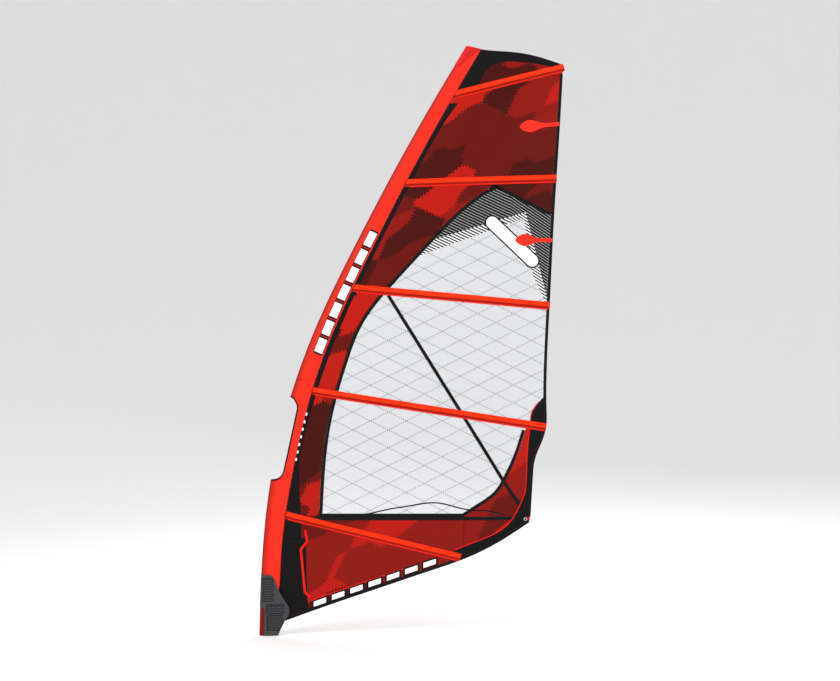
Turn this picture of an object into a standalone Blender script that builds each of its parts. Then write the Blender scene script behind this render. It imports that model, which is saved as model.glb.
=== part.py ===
# Windsurf sail: luff sleeve, panels, window, battens with tensioners, clew and tack fittings.
# Metres, +Z up. The sail stands in the XZ plane, luff at small X, port side toward -Y.
# The origin is the centre of the mast sleeve's mouth.
import bpy
import bmesh
import numpy as np
from math import pi, sin, cos

# ---- driving dimensions -------------------------------------------------------------------
# luff front edge: height, X
luffStations = [(0.00, -0.029), (0.55, -0.009), (1.10, 0.053), (1.65, 0.183), (2.20, 0.386),
                (2.75, 0.652), (3.30, 0.942), (3.75, 1.197), (4.13, 1.424)]
# width of the mast sleeve laid flat: height, width
sleeveStations = [(0.00, 0.104), (0.12, 0.105), (0.22, 0.112), (0.33, 0.130), (0.44, 0.134),
                  (0.66, 0.134), (1.09, 0.145),
                  (1.80, 0.138), (2.35, 0.136), (3.05, 0.128), (4.13, 0.118)]
# leech edge: height, X
leechStations = [(0.78, 1.866), (0.95, 1.876), (1.13, 1.887), (1.23, 1.900), (1.36, 1.951),
                 (1.47, 1.980), (1.60, 1.981), (1.80, 1.981), (2.01, 1.988), (2.42, 2.009),
                 (2.85, 2.030), (3.58, 2.076), (4.02, 2.100)]
# foot edge: X, height
footStations = [(0.10, 0.080), (0.48, 0.217), (0.81, 0.329), (1.14, 0.441), (1.45, 0.552),
                (1.67, 0.665), (1.87, 0.796)]
# head edge: X, height
headStations = [(1.42, 4.124), (1.513, 4.101), (1.70, 4.083), (1.88, 4.058), (2.10, 3.990)]
# front edge of the clear window: height, X
windowStations = [(0.82, 0.389), (1.09, 0.403), (1.37, 0.431), (1.65, 0.487), (1.93, 0.571),
                  (2.21, 0.690), (2.49, 0.914), (2.77, 1.173), (3.05, 1.474), (3.14, 1.600)]
# rear edge of the clear window under batten 4: height, X
windowRearStations = [(0.83, 1.381), (0.91, 1.517), (0.987, 1.625), (1.07, 1.685),
                      (1.225, 1.761), (1.48, 1.846)]
windowTopRear = (2.027, 2.933)      # where the window's top edge reaches the leech
windowApex = (1.616, 3.140)         # top of the window
strapHeight = 0.826                 # bottom of the window and the seam under it
# batten centre lines, luff end then leech end (X, height), counted from the head
battenEnds = [((1.3454, 3.7835), (2.100, 3.9725)),
              ((0.9975, 3.1626), (2.0545, 3.1976)),
              ((0.6230, 2.4290), (2.0090, 2.3051)),
              ((0.3290, 1.7129), (1.9810, 1.4560)),
              ((0.1610, 0.8400), (1.4175, 0.5355))]
camberDepth = 0.040                 # deepest draft of the sail body
clothHalf = 0.0005                  # half of a panel's thickness
gap = 0.0004                        # air between pieces that touch
tapeThick = 0.0008
seam = 0.0006                       # half of the slit between two panels, under the tape
sleeveWall = 0.0012
sleeveDepthFoot = 0.024             # half of the sleeve's fullness at the foot
sleeveDepthHead = 0.014             # and at the head
sleeveRear = 0.0022                 # half thickness of the sleeve's rear seam
pocketHalf = 0.025                  # half width of a batten pocket
tunnelHigh = 0.0080                 # inside height of a batten pocket
pocketThick = 0.0010                # its cloth
battenTravel = 0.008                # how far the tension screw drives its batten
clewHole = (1.8326, 0.8127)         # clew eyelet centre (X, height)
blockX = 0.0995                     # tack block centre
sheaveZ = 0.0400                    # height of the sheave axle
cutout = [(0.000, 1.650), (0.193, 1.667), (0.2254, 1.632), (0.238, 1.589), (0.1421, 1.1515),
          (0.1127, 1.1025), (0.061, 1.0878), (-0.06, 1.090)]

portTape = (-(clothHalf + gap), -(clothHalf + gap + tapeThick))
starTape = (clothHalf + gap, clothHalf + gap + tapeThick)
pocketBase = clothHalf + gap + tapeThick + gap


# ---- curves -------------------------------------------------------------------------------
def spline(stations):
    """Natural cubic through the stations, as a function of their first value."""
    t = np.array([p[0] for p in stations])
    v = np.array([p[1] for p in stations])
    h = np.diff(t)
    n = len(t)
    a = np.eye(n)
    r = np.zeros(n)
    for i in range(1, n - 1):
        a[i, i - 1:i + 2] = h[i - 1], 2 * (h[i - 1] + h[i]), h[i]
        r[i] = 6 * ((v[i + 1] - v[i]) / h[i] - (v[i] - v[i - 1]) / h[i - 1])
    m = np.linalg.solve(a, r)

    def value(x):
        x = np.asarray(x, float)
        i = np.clip(np.searchsorted(t, x) - 1, 0, n - 2)
        p = (t[i + 1] - x) / h[i]
        q = (x - t[i]) / h[i]
        bend = ((p ** 3 - p) * m[i] + (q ** 3 - q) * m[i + 1]) * h[i] ** 2 / 6
        return p * v[i] + q * v[i + 1] + bend
    return value


luffX = spline(luffStations)
sleeveWide = spline(sleeveStations)
leechX = spline(leechStations)
footEdge = spline(footStations)
headEdge = spline(headStations)
windowFront = spline(windowStations)
windowRear = spline(windowRearStations)


def seamX(z):
    return luffX(z) + sleeveWide(z)


def footZ(x):
    return np.maximum(footEdge(x), 0.092)


def middleY(x, z):
    """Draft of the sail: bows to port, most at 40 % of the chord and at half height."""
    t = np.clip((np.asarray(z, float) - 0.12) / 4.5, 0, 1)
    u = np.clip((x - luffX(z)) / (2.10 - luffX(z)), 0, 1)
    return -camberDepth * np.sin(pi * t) ** 1.2 * np.sin(pi * u ** 0.8) ** 1.25


def battenZ(number):
    (x0, z0), (x1, z1) = battenEnds[number - 1]
    return lambda x: z0 + (np.asarray(x, float) - x0) * (z1 - z0) / (x1 - x0)


def level(height):
    return lambda x: np.full_like(np.asarray(x, float), height)


def upright(x):
    return lambda z: x


# ---- mesh helpers -------------------------------------------------------------------------
def clearScene():
    for item in list(bpy.data.objects):
        bpy.data.objects.remove(item, do_unlink=True)
    for pool in (bpy.data.meshes, bpy.data.materials):
        for item in list(pool):
            pool.remove(item)


def finishObject(name, verts, faces, color, smooth=False, rough=0.6, metal=0.0):
    mesh = bpy.data.meshes.new(name)
    mesh.from_pydata([tuple(map(float, v)) for v in verts], [], faces)
    bm = bmesh.new()
    bm.from_mesh(mesh)
    bmesh.ops.recalc_face_normals(bm, faces=bm.faces)
    bm.to_mesh(mesh)
    bm.free()
    for poly in mesh.polygons:
        poly.use_smooth = smooth
    material = bpy.data.materials.new(name)
    material.use_nodes = True
    shader = material.node_tree.nodes["Principled BSDF"]
    shader.inputs["Base Color"].default_value = (*color, 1)
    shader.inputs["Roughness"].default_value = rough
    shader.inputs["Metallic"].default_value = metal
    mesh.materials.append(material)
    item = bpy.data.objects.new(name, mesh)
    bpy.context.scene.collection.objects.link(item)
    return item


def moveOrigin(item, point):
    """Puts the object's origin on its joint axis without moving the piece."""
    shift = np.array(point, float)
    for v in item.data.vertices:
        v.co = tuple(np.array(v.co) - shift)
    item.location = point


def cut(item, cutter, operation="DIFFERENCE"):
    cutter.hide_render = True
    cutter.display_type = "WIRE"
    modifier = item.modifiers.new("cut", "BOOLEAN")
    modifier.operation = operation
    modifier.solver = "EXACT"
    modifier.object = cutter


def cloth(name, grid, offsets, color, smooth=True):
    """Thin closed sheet over a grid of (X, height) points, between two offsets from the draft."""
    grid = np.asarray(grid, float)
    n, m = grid.shape[:2]
    x, z = grid[..., 0].ravel(), grid[..., 1].ravel()
    base = middleY(x, z)
    verts = [np.column_stack([x, base + o, z]) for o in offsets]
    verts = np.vstack(verts)
    back = n * m
    faces = []
    for i in range(n - 1):
        for j in range(m - 1):
            a = i * m + j
            quad = (a, a + 1, a + m + 1, a + m)
            faces.append(quad)
            faces.append(tuple(k + back for k in quad))
    rim = [j for j in range(m)] + [i * m + m - 1 for i in range(1, n)]
    rim += [(n - 1) * m + j for j in range(m - 2, -1, -1)] + [i * m for i in range(n - 2, 0, -1)]
    for k, a in enumerate(rim):
        b = rim[(k + 1) % len(rim)]
        faces.append((a, b, b + back, a + back))
    return finishObject(name, verts, faces, color, smooth)


def loft(name, loops, color, ring=False, smooth=True, rough=0.5, metal=0.0):
    """Joins loops of equal length; capped at both ends, or closed round into a ring."""
    loops = [np.asarray(loop, float) for loop in loops]
    n = len(loops[0])
    faces = []
    last = len(loops) if ring else len(loops) - 1
    for i in range(last):
        a, b = i * n, ((i + 1) % len(loops)) * n
        for j in range(n):
            k = (j + 1) % n
            faces.append((a + j, a + k, b + k, b + j))
    if not ring:
        faces.append(tuple(range(n)))
        faces.append(tuple(range((len(loops) - 1) * n, len(loops) * n)))
    return finishObject(name, np.vstack(loops), faces, color, smooth, rough, metal)


def box(name, low, high, color, rough=0.5, metal=0.0):
    corners = [(0, 0), (1, 0), (1, 1), (0, 1)]
    ends = (low, high)
    loops = [[(ends[a][0], ends[b][1], ends[c][2]) for a, b in corners] for c in (0, 1)]
    return loft(name, loops, color, smooth=False, rough=rough, metal=metal)


def prism(name, outline, y0, y1):
    """Outline of (X, height) points carried straight across the sail."""
    loops = [[(x, y, z) for x, z in outline] for y in (y0, y1)]
    return loft(name, loops, (1, 1, 1), smooth=False)


def circle(center, axis, up, radius, count, flatness=1.0):
    center, axis, up = (np.array(v, float) for v in (center, axis, up))
    axis = axis / np.linalg.norm(axis)
    up = up - axis * up.dot(axis)
    up = up / np.linalg.norm(up)
    side = np.cross(axis, up)
    angles = (np.arange(count) + 0.5) * 2 * pi / count
    return [center + radius * (cos(t) * side + sin(t) * flatness * up) for t in angles]


def turned(name, center, axis, up, profile, count, color, ring=False, **look):
    """Profile of (distance along the axis, radius) turned round the axis."""
    axis = np.array(axis, float) / np.linalg.norm(axis)
    loops = [circle(np.array(center) + axis * d, axis, up, r, count) for d, r in profile]
    return loft(name, loops, color, ring=ring, **look)


def meet(row, edge, start=1.0):
    """X where a row (height as a function of X) crosses an edge (X as a function of height)."""
    x = start
    for _ in range(30):
        x = float(edge(row(x)))
    return x


def band(lower, upper, parts, front, rear, columns, trims=(seam, seam)):
    """Grid between two rows and two edges; the rows are blended for the steps in between."""
    rows = []
    for v in parts:
        row = lambda x, v=v: (1 - v) * lower(x) + v * upper(x)
        x = np.linspace(meet(row, front), meet(row, rear), columns + 1)
        z = row(x)
        z = z + trims[0] * (v == 0) - trims[1] * (v == 1)
        rows.append(np.column_stack([x, z]))
    return np.array(rows)


def between(first, second, columns):
    """Grid between two rails with the same number of points."""
    first, second = np.array(first, float), np.array(second, float)
    steps = np.linspace(0, 1, columns + 1)[None, :, None]
    return first[:, None, :] * (1 - steps) + second[:, None, :] * steps


def sideways(path):
    """Left-hand unit vectors along a path, mitred where it turns."""
    path = np.array(path, float)
    run = np.diff(path, axis=0)
    run /= np.linalg.norm(run, axis=1)[:, None]
    left = np.column_stack([-run[:, 1], run[:, 0]])
    before = np.vstack([left[:1], left])
    after = np.vstack([left, left[-1:]])
    mean = before + after
    return mean * 2 / (mean * mean).sum(axis=1)[:, None]


def ribbon(name, path, half, offsets, color):
    path = np.array(path, float)
    side = sideways(path) * half
    return cloth(name, between(path - side, path + side, 1), offsets, color)


def dense(points, step):
    """Adds points along straight stretches so the piece follows the draft."""
    out = [points[0]]
    for a, b in zip(points[:-1], points[1:]):
        a, b = np.array(a, float), np.array(b, float)
        count = max(1, int(np.ceil(np.linalg.norm(b - a) / step)))
        out += [tuple(a + (b - a) * k / count) for k in range(1, count + 1)]
    return out


def folded(name, path, width, color):
    """Edge tape folded round the sail's edge; the path runs with the sail on its left."""
    path = np.array(path, float)
    left = sideways(path)
    inner, outer = clothHalf + gap, clothHalf + gap + tapeThick
    section = [(0, -outer), (width, -outer), (width, -inner), (tapeThick, -inner),
               (tapeThick, inner), (width, inner), (width, outer), (0, outer)]
    loops = []
    for p, s in zip(path, left):
        loop = []
        for a, b in section:
            x, z = p + s * a
            loop.append((x, float(middleY(x, z)) + b, z))
        loops.append(loop)
    return loft(name, loops, color, smooth=False)


# ---- mast sleeve --------------------------------------------------------------------------
def sleeveDepth(a, z):
    """Half thickness of the sleeve at a, where a squared is the distance behind the nose."""
    full = sleeveDepthFoot + (sleeveDepthHead - sleeveDepthFoot) * np.clip(z / 4.1, 0, 1)
    s = a * a
    return sleeveRear * np.abs(a) + full * np.abs(a) * (1 - s) / 0.385


def sleevePoint(a, z, out):
    """Point on the sleeve, pushed outward by out; a runs -1 (port seam) to 1 (starboard)."""
    s = a * a
    width = sleeveWide(z)
    x = luffX(z) + s * width - out * (1 - np.abs(a)) ** 1.5
    y = middleY(luffX(z) + s * width, z)
    y = y + np.sign(a) * (sleeveDepth(a, z) + out * np.minimum(1, 2.2 * np.abs(a)))
    return x, y, z


def sleeveLoop(z, out, inner=False, top=None):
    a = np.linspace(-1, 1, 17)
    if inner:
        a = a * 0.955
        out = out - sleeveWall
    zz = z + (0 if top is None else top * a * a)
    zz = np.broadcast_to(zz, a.shape)
    x, y, zz = sleevePoint(a, zz, out)
    if inner:
        ends = [0, -1]
        mid = middleY(x, zz)
        y[ends] = mid[ends] + np.array([-0.0003, 0.0003])
    return np.column_stack([x, y, zz])


def sleeveTube(name, low, high, color, out=0.0, closedTop=False):
    rows = np.linspace(low, high, max(2, int(round((high - low) / 0.13)) + 1))
    slope = -0.024 if closedTop else None
    tops = [slope * (z - low) / (high - low) if slope else None for z in rows]
    outer = [sleeveLoop(z, out, False, t) for z, t in zip(rows, tops)]
    inner = [sleeveLoop(z, out, True, t) for z, t in zip(rows, tops)]
    if closedTop:
        inner[-1] = inner[-1] - np.array([0.0012, 0, 0.003])
        return loft(name, inner[::-1] + outer, color)
    return loft(name, outer + inner[::-1], color, ring=True)


def sleeveSheet(name, rows, edges, out, thick, color, columns=12):
    """Open wrap lying on the sleeve: for each height a range of a, with a thickness."""
    skins = []
    for o in (out, out + thick):
        skin = []
        for z, (a0, a1) in zip(rows, edges):
            a = np.linspace(a0, a1, columns + 1)
            x, y, zz = sleevePoint(a, np.full_like(a, z), o)
            skin.append(np.column_stack([x, y, zz]))
        skins.append(np.array(skin))
    return shell(name, skins[0], skins[1], color)


def shell(name, first, second, color, smooth=True):
    """Closed body between two grids of points."""
    n, m = first.shape[:2]
    verts = np.vstack([first.reshape(-1, 3), second.reshape(-1, 3)])
    back = n * m
    faces = []
    for i in range(n - 1):
        for j in range(m - 1):
            a = i * m + j
            quad = (a, a + 1, a + m + 1, a + m)
            faces.append(quad)
            faces.append(tuple(k + back for k in quad))
    rim = list(range(m)) + [i * m + m - 1 for i in range(1, n)]
    rim += [(n - 1) * m + j for j in range(m - 2, -1, -1)] + [i * m for i in range(n - 2, 0, -1)]
    for k, a in enumerate(rim):
        b = rim[(k + 1) % len(rim)]
        faces.append((a, b, b + back, a + back))
    return finishObject(name, verts, faces, color, smooth)


red = (0.86, 0.055, 0.025)
darkRed = (0.16, 0.006, 0.004)
camo = (0.42, 0.012, 0.006)
pocketRed = (0.78, 0.042, 0.006)
black = (0.012, 0.012, 0.013)
film = (0.62, 0.66, 0.68)
steel = (0.62, 0.63, 0.64)
plastic = (0.05, 0.05, 0.055)
rubber = (0.045, 0.045, 0.045)


def buildSleeve():
    sleeveTube("sleeve_foot", 0.0, 0.20, darkRed)
    sleeveTube("sleeve_lower", 0.2006, 0.98, red)
    boom = sleeveTube("sleeve_boom_section", 0.9806, 1.78, red)
    cut(boom, prism("cutout_cutter", cutout, -0.1, 0.1))
    sleeveTube("sleeve_upper", 1.7806, 4.124, red, closedTop=True)
    binding = sleeveTube("boom_cutout_binding", 0.9806, 1.78, black, out=0.0016)
    wide = [(-0.06, 1.661), (0.196, 1.6785), (0.2335, 1.637), (0.2485, 1.5885),
            (0.1515, 1.147), (0.1185, 1.0935), (0.060, 1.0765), (-0.06, 1.079)]
    cut(binding, prism("binding_cutter", wide, -0.12, 0.12), "INTERSECT")
    cut(binding, prism("binding_hole_cutter", cutout, -0.13, 0.13))
    rows = np.linspace(3.975, 4.118, 4)
    edges = [(-0.72 - 0.1 * k, 0.72 + 0.1 * k) for k in np.linspace(0, 1, 4)]
    sleeveSheet("head_patch", rows, edges, 0.0005, 0.0010, darkRed)
    lean = np.array([float(luffX(4.08) - luffX(3.98)), 0, 0.10])
    x = float(luffX(4.03)) + 0.30 * float(sleeveWide(4.03))
    center = (x, float(middleY(x, 4.03)), 4.03)
    turned("mast_tip_cup", center, lean, (0, 1, 0),
           [(-0.030, 0.0088), (-0.030, 0.0104), (0.018, 0.0104), (0.018, 0.001),
            (0.0178, 0.0009), (0.014, 0.0009), (0.014, 0.0088)], 16, plastic, ring=True)


# ---- panels -------------------------------------------------------------------------------
def frontOf(edge, room=seam):
    return lambda z: edge(z) + room


def behind(edge, room=seam):
    return lambda z: edge(z) - room


def windowFrontEdge(z):
    return windowFront(z) if z < windowApex[1] else windowApex[0]


def windowTop(z):
    (x0, z0), (x1, z1) = windowTopRear, windowApex
    z = min(float(z), z1)
    return x0 + (x1 - x0) * (z - z0) / (z1 - z0)


def windowLeech(z):
    return min(float(leechX(z)) - 0.004, windowTop(z) - seam)


def buildPanels():
    edge = behind(leechX, 0.004)
    luff = frontOf(seamX, 0.0018)
    body = (-clothHalf, clothHalf)
    steps = lambda n: np.linspace(0, 1, n + 1)
    cloth("head_panel", band(battenZ(1), headEdge, steps(2), luff, edge, 8, (seam, 0)), body, black)
    cloth("upper_panel", band(battenZ(2), battenZ(1), steps(5), luff, edge, 13), body, camo)
    window = [0, 0.14, 0.28, 0.42, 0.56, 0.70, 0.78, 0.86, 0.94]
    pair = (battenZ(3), battenZ(2))
    cloth("luff_panel_upper", band(*pair, window + [0.97, 1], luff,
                                   behind(windowFrontEdge), 6), body, camo)
    cloth("window_upper", band(*pair, window, frontOf(windowFrontEdge), windowLeech, 13), body, film)
    cloth("leech_corner_panel", band(*pair, [0.75, 0.78, 0.86, 0.94, 0.97, 1],
                                     frontOf(windowTop), edge, 5), body, camo)
    pair = (battenZ(4), battenZ(3))
    cloth("luff_panel_middle", band(*pair, steps(6), luff, behind(windowFront), 3), body, camo)
    cloth("window_middle", band(*pair, steps(6), frontOf(windowFront), edge, 16), body, film)
    pair = (lambda x: np.maximum(strapHeight, battenZ(5)(x) + 0.001), battenZ(4))
    parts = [0, 0.08, 0.16, 0.26, 0.40, 0.60, 0.80, 1]
    cloth("luff_panel_lower", band(*pair, parts, luff, behind(windowFront), 3), body, camo)
    grid = band(*pair, parts, frontOf(windowFront), behind(windowRear), 14)
    cloth("window_lower", grid, body, film)
    cloth("foot_panel", band(battenZ(5), level(strapHeight), steps(2), upright(0.26),
                             upright(1.404), 12), body, camo)
    cloth("tack_panel", band(footPanelEdge, battenZ(5), steps(8), frontOf(seamX, 0.007), upright(1.375), 13,
                             (0, seam)), body, camo)
    buildClewPanel(grid[:, -1], body)


def footPanelEdge(x):
    return footZ(x) + 0.004


def buildClewPanel(windowSide, body):
    front = [(x + 2 * seam, z) for x, z in windowSide[::-1]]
    front += [(1.4056, 0.8255), (1.4056, 0.72), (1.4056, 0.62), (1.4056, 0.5445)]
    heights = [1.44, 1.37, 1.28, 1.18, 1.06, 0.94, 0.86]
    rear = [(float(leechX(z)) - 0.009, z) for z in heights]
    foot = [1.857, 1.74, 1.62, 1.52, 1.43]
    rear += [(x, float(footEdge(x)) + 0.005) for x in foot]
    panel = cloth("clew_panel", between(front, rear, 4), body, camo)
    cut(panel, eyeletCutter("clew_panel_cutter"))


def eyeletCutter(name):
    x, z = clewHole
    y = float(middleY(x, z))
    return turned(name, (x, y, z), (0, 1, 0), (0, 0, 1), [(-0.01, 0.0095), (0.01, 0.0095)],
                  20, steel)


# ---- tapes, straps, patches ---------------------------------------------------------------
def buildTapes():
    heights = np.linspace(3.70, 0.68, 31)
    width = spline([(0.68, 0.128), (0.80, 0.115), (0.95, 0.083), (1.09, 0.052), (1.22, 0.031),
                    (1.50, 0.030), (2.50, 0.034), (3.30, 0.035), (3.60, 0.043), (3.70, 0.055)])
    rails = [[(float(seamX(z)) + 0.0020, z) for z in heights],
             [(float(seamX(z) + width(z)), z) for z in heights]]
    cloth("luff_tape", between(*rails, 1), portTape, black)
    lower = lambda x: footZ(x) + 0.028
    grid = band(lower, level(0.676), np.linspace(0, 1, 9), frontOf(seamX, 0.0075),
                lambda z: 0.30 + 0.06 * (0.68 - z) ** 2, 2, (0, 0))
    cloth("tack_patch", grid, portTape, black)
    heights = np.concatenate([np.linspace(0.828, 1.18, 8), np.linspace(1.22, 1.56, 10),
                              np.linspace(1.70, 3.925, 20)])
    folded("leech_tape", [(float(leechX(z)), z) for z in heights], 0.021, black)
    x = np.linspace(0.16, 1.860, 24)
    folded("foot_tape", [(t, float(footEdge(t))) for t in x], 0.021, black)
    path = dense([(2.001, 2.948), (1.6285, 3.128)], 0.08)
    path += [(float(windowFront(z)) + 0.013, z) for z in np.linspace(3.08, 0.90, 24)]
    path += dense([(0.4015, 0.8405), (1.392, 0.8405)], 0.09)
    path += [(float(windowRear(z)) - 0.014, z) for z in np.linspace(0.895, 1.432, 10)]
    ribbon("window_frame_tape", path, 0.0110, portTape, black)
    path = dense([(0.878, 2.370), (1.4595, 1.435), (1.6835, 1.071), (1.785, 0.925)], 0.09)
    ribbon("clew_strap_upper", path, 0.0120, starTape, black)
    path = dense([(0.27, 0.8168), (1.790, 0.8168)], 0.09)
    ribbon("clew_strap_lower", path, 0.0120, starTape, black)


def buildClew():
    inner = [(1.950, 1.655), (1.902, 1.597), (1.875, 1.543), (1.870, 1.498), (1.868, 1.445),
             (1.856, 1.365), (1.849, 1.262), (1.845, 1.151), (1.838, 1.008), (1.8235, 0.966),
             (1.785, 0.879), (1.749, 0.815), (1.710, 0.758), (1.595, 0.694), (1.4665, 0.644),
             (1.335, 0.590)]
    heights = [1.645, 1.597, 1.543, 1.498, 1.445, 1.365, 1.262, 1.151, 1.008, 0.940, 0.880]
    outer = [(float(leechX(z)) - 0.0225 - 0.007 * (z > 1.1), z) for z in heights]
    outer += [(1.8440, 0.8075)]
    for x in (1.760, 1.620, 1.480, 1.350):
        outer.append((x, float(footEdge(x)) + 0.0315))
    patch = cloth("clew_patch", between(inner, outer, 3), portTape, black)
    cut(patch, eyeletCutter("clew_patch_cutter"))
    x, z = clewHole
    y = float(middleY(x, z))
    near, far = -portTape[1] + 0.0004, clothHalf + 0.0004
    profile = [(-near - 0.0011, 0.0070), (far + 0.0011, 0.0070), (far + 0.0011, 0.0122),
               (far, 0.0122), (far, 0.0090), (-near, 0.0090), (-near, 0.0122),
               (-near - 0.0011, 0.0122)]
    turned("clew_ring", (x, y, z), (0, 1, 0), (0, 0, 1), profile, 24, steel, ring=True,
           rough=0.25, metal=1.0)


# ---- battens, pockets and tensioners ------------------------------------------------------
def battenFrame(number):
    """Start, unit direction along the batten, unit direction across it, and its length."""
    (x0, z0), (x1, z1) = battenEnds[number - 1]
    row = battenZ(number)
    x0 = meet(row, seamX, x0) + 0.004
    if number == 5:
        x1 = 1.378
    else:
        x1 = meet(row, leechX, x1) + (0.006 if number == 1 else 0.0)
    start, end = np.array([x0, float(row(x0))]), np.array([x1, float(row(x1))])
    run = end - start
    length = np.linalg.norm(run)
    along = run / length
    return start, along, np.array([-along[1], along[0]]), length


def onBatten(frame, distance, across, height):
    """World point on a batten line; height is measured to port from the sail's middle."""
    start, along, side, _ = frame
    x, z = start + along * distance + side * across
    return (x, float(middleY(x, z)) - height, z)


def section(frame, distance, outline, skew=0.0):
    """Outline across the batten; skew turns the luff end parallel to the sleeve's seam."""
    lean = skew * max(0.0, 1 - distance / 0.30)
    return [onBatten(frame, distance + a * lean, a, h) for a, h in outline]


def seamSkew(frame):
    start, along, side, _ = frame
    slope = float(seamX(start[1] + 0.02) - seamX(start[1] - 0.02)) / 0.04
    return (slope * side[1] - side[0]) / (along[0] - slope * along[1])


def endHeight(frame, distance):
    """Draft near the leech end as a straight line, so the screw has one straight axis."""
    start, along, _, length = frame
    ends = [float(middleY(*(start + along * d))) for d in (length - 0.06, length)]
    return ends[0] + (ends[1] - ends[0]) * (distance - length + 0.06) / 0.06


def atEnd(frame, distance, outline, tilted=False):
    """Section near the leech, on the tension screw's own axis; tilted follows the cloth."""
    start, along, side, length = frame
    y = endHeight(frame, distance)
    base = start + along * distance
    tip = start + along * (length - 0.03)
    tilt = 0.0
    if tilted:
        tilt = float(middleY(*(tip + side * 0.01)) - middleY(*(tip - side * 0.01))) / 0.02
    return [(base[0] + side[0] * a, y + tilt * a - h, base[1] + side[1] * a)
            for a, h in outline]


def pocketOutlines():
    b = pocketBase
    low, top = b + pocketThick, b + pocketThick + tunnelHigh
    outer = [(-pocketHalf, b), (pocketHalf, b), (pocketHalf, low), (0.0128, low),
             (0.0108, top - 0.0018), (0.0062, top + 0.0010), (-0.0062, top + 0.0010),
             (-0.0108, top - 0.0018), (-0.0128, low), (-pocketHalf, low)]
    inner = [(-0.0085, low), (0.0085, low), (0.0094, low + 0.0012), (0.0094, low + 0.0040),
             (0.0092, top - 0.0022), (0.0055, top), (-0.0055, top), (-0.0092, top - 0.0022),
             (-0.0094, low + 0.0040), (-0.0094, low + 0.0012)]
    return outer, inner


def buildBatten(number):
    frame = battenFrame(number)
    length = frame[3]
    outer, inner = pocketOutlines()
    stops = np.linspace(length, 0, int(round(length / 0.080)) + 1)
    skew = seamSkew(frame)
    loops = [section(frame, d, outer, skew) for d in stops]
    loops += [section(frame, d, inner, skew) for d in stops[::-1]]
    loft(f"batten_pocket_{number}", loops, pocketRed, ring=True, smooth=False)
    middle = pocketBase + pocketThick + tunnelHigh / 2
    bar = lambda w, h: [(-w, middle - h * 0.5), (-w * 0.7, middle - h), (w * 0.7, middle - h),
                        (w, middle - h * 0.5), (w, middle + h * 0.5), (w * 0.7, middle + h),
                        (-w * 0.7, middle + h), (-w, middle + h * 0.5)]
    octagon = lambda r: [(r * cos(t), middle + r * sin(t))
                         for t in -pi + (np.arange(8) * 2 + 0.5) * pi / 8 + pi / 16]
    first, last = 0.010 + battenTravel + 0.003, length - 0.060
    loops = [section(frame, d, bar(0.0058, 0.0016))
             for d in np.linspace(first, last, int(round((last - first) / 0.085)) + 1)]
    wide = bar(0.0064, 0.0031)
    for d in (length - 0.056, length - 0.0240):
        loops.append(atEnd(frame, d, wide, tilted=True))
    for d in (length - 0.0240, length - 0.0530):
        loops.append(atEnd(frame, d, octagon(0.0023)))
    batten = loft(f"batten_{number}", loops, (0.03, 0.03, 0.032), smooth=False)
    tip = np.array(atEnd(frame, length - 0.056, [(0, middle)])[0])
    moveOrigin(batten, tip)
    buildTensioner(number, frame, middle)


def buildTensioner(number, frame, middle):
    length = frame[3]
    count = 12
    angles = (np.arange(count) + 0.5) * 2 * pi / count
    ring = lambda r: [(r * cos(t), middle + r * sin(t)) for t in angles]
    wide, high = 0.0078, 0.0034
    hull = [(wide * np.sign(cos(t)) * abs(cos(t)) ** 0.45,
             middle + high * np.sign(sin(t)) * abs(sin(t)) ** 0.45) for t in angles]
    out, back = length - 0.0010, length - 0.0150
    loops = [atEnd(frame, out, hull, True), atEnd(frame, out, ring(0.0033)),
             atEnd(frame, out - 0.0045, ring(0.0033)), atEnd(frame, out - 0.0045, ring(0.0023)),
             atEnd(frame, back, ring(0.0023)), atEnd(frame, back, hull, True)]
    loft(f"batten_tensioner_{number}", loops, plastic, ring=True, smooth=False)
    hexagon = [(0.0017 * cos(t) * (1 if i % 2 else 0.9), middle + 0.0017 * sin(t))
               for i, t in enumerate(angles)]
    steps = [(length - 0.0480, 0.0019), (out - 0.0041, 0.0019), (out - 0.0041, 0.0029),
             (out - 0.0006, 0.0029)]
    loops = [atEnd(frame, d, ring(r)) for d, r in steps]
    loops += [atEnd(frame, out - 0.0006, hexagon), atEnd(frame, out - 0.0028, hexagon)]
    screw = loft(f"tension_screw_{number}", loops, steel, rough=0.3, metal=1.0)
    moveOrigin(screw, atEnd(frame, out - 0.002, [(0, middle)])[0])


def buildMiniBatten(number, tip, end):
    tip, end = np.array(tip), np.array(end)
    run = end - tip
    length = np.linalg.norm(run)
    along = run / length
    frame = (tip, along, np.array([-along[1], along[0]]), length)
    b = pocketBase
    shape = spline([(0, 0.008), (0.12, 0.030), (0.26, 0.043), (0.42, 0.030), (0.60, 0.015),
                    (0.80, 0.0135), (1.0, 0.0135)])
    outer, inner = [], []
    for t in np.linspace(0, 1, 11):
        w = float(shape(t))
        outer.append(section(frame, t * length, [(-w, b), (w, b), (w, b + 0.0008),
                             (0.0062, b + 0.0034), (-0.0062, b + 0.0034), (-w, b + 0.0008)]))
    slot = [(-0.0048, b + 0.0008), (0.0048, b + 0.0008), (0.0048, b + 0.0014),
            (0.0042, b + 0.0026), (-0.0042, b + 0.0026), (-0.0048, b + 0.0014)]
    for t in np.linspace(0.16, 1, 9):
        inner.append(section(frame, t * length, slot))
    loft(f"mini_pocket_{number}", outer + inner[::-1], red, smooth=False)
    bar = [(-0.0038, b + 0.0011), (0.0038, b + 0.0011), (0.0038, b + 0.0022),
           (-0.0038, b + 0.0022)]
    loops = [section(frame, t * length, bar) for t in np.linspace(0.20, 0.985, 9)]
    loft(f"mini_batten_{number}", loops, (0.7, 0.7, 0.66), smooth=False)


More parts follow.
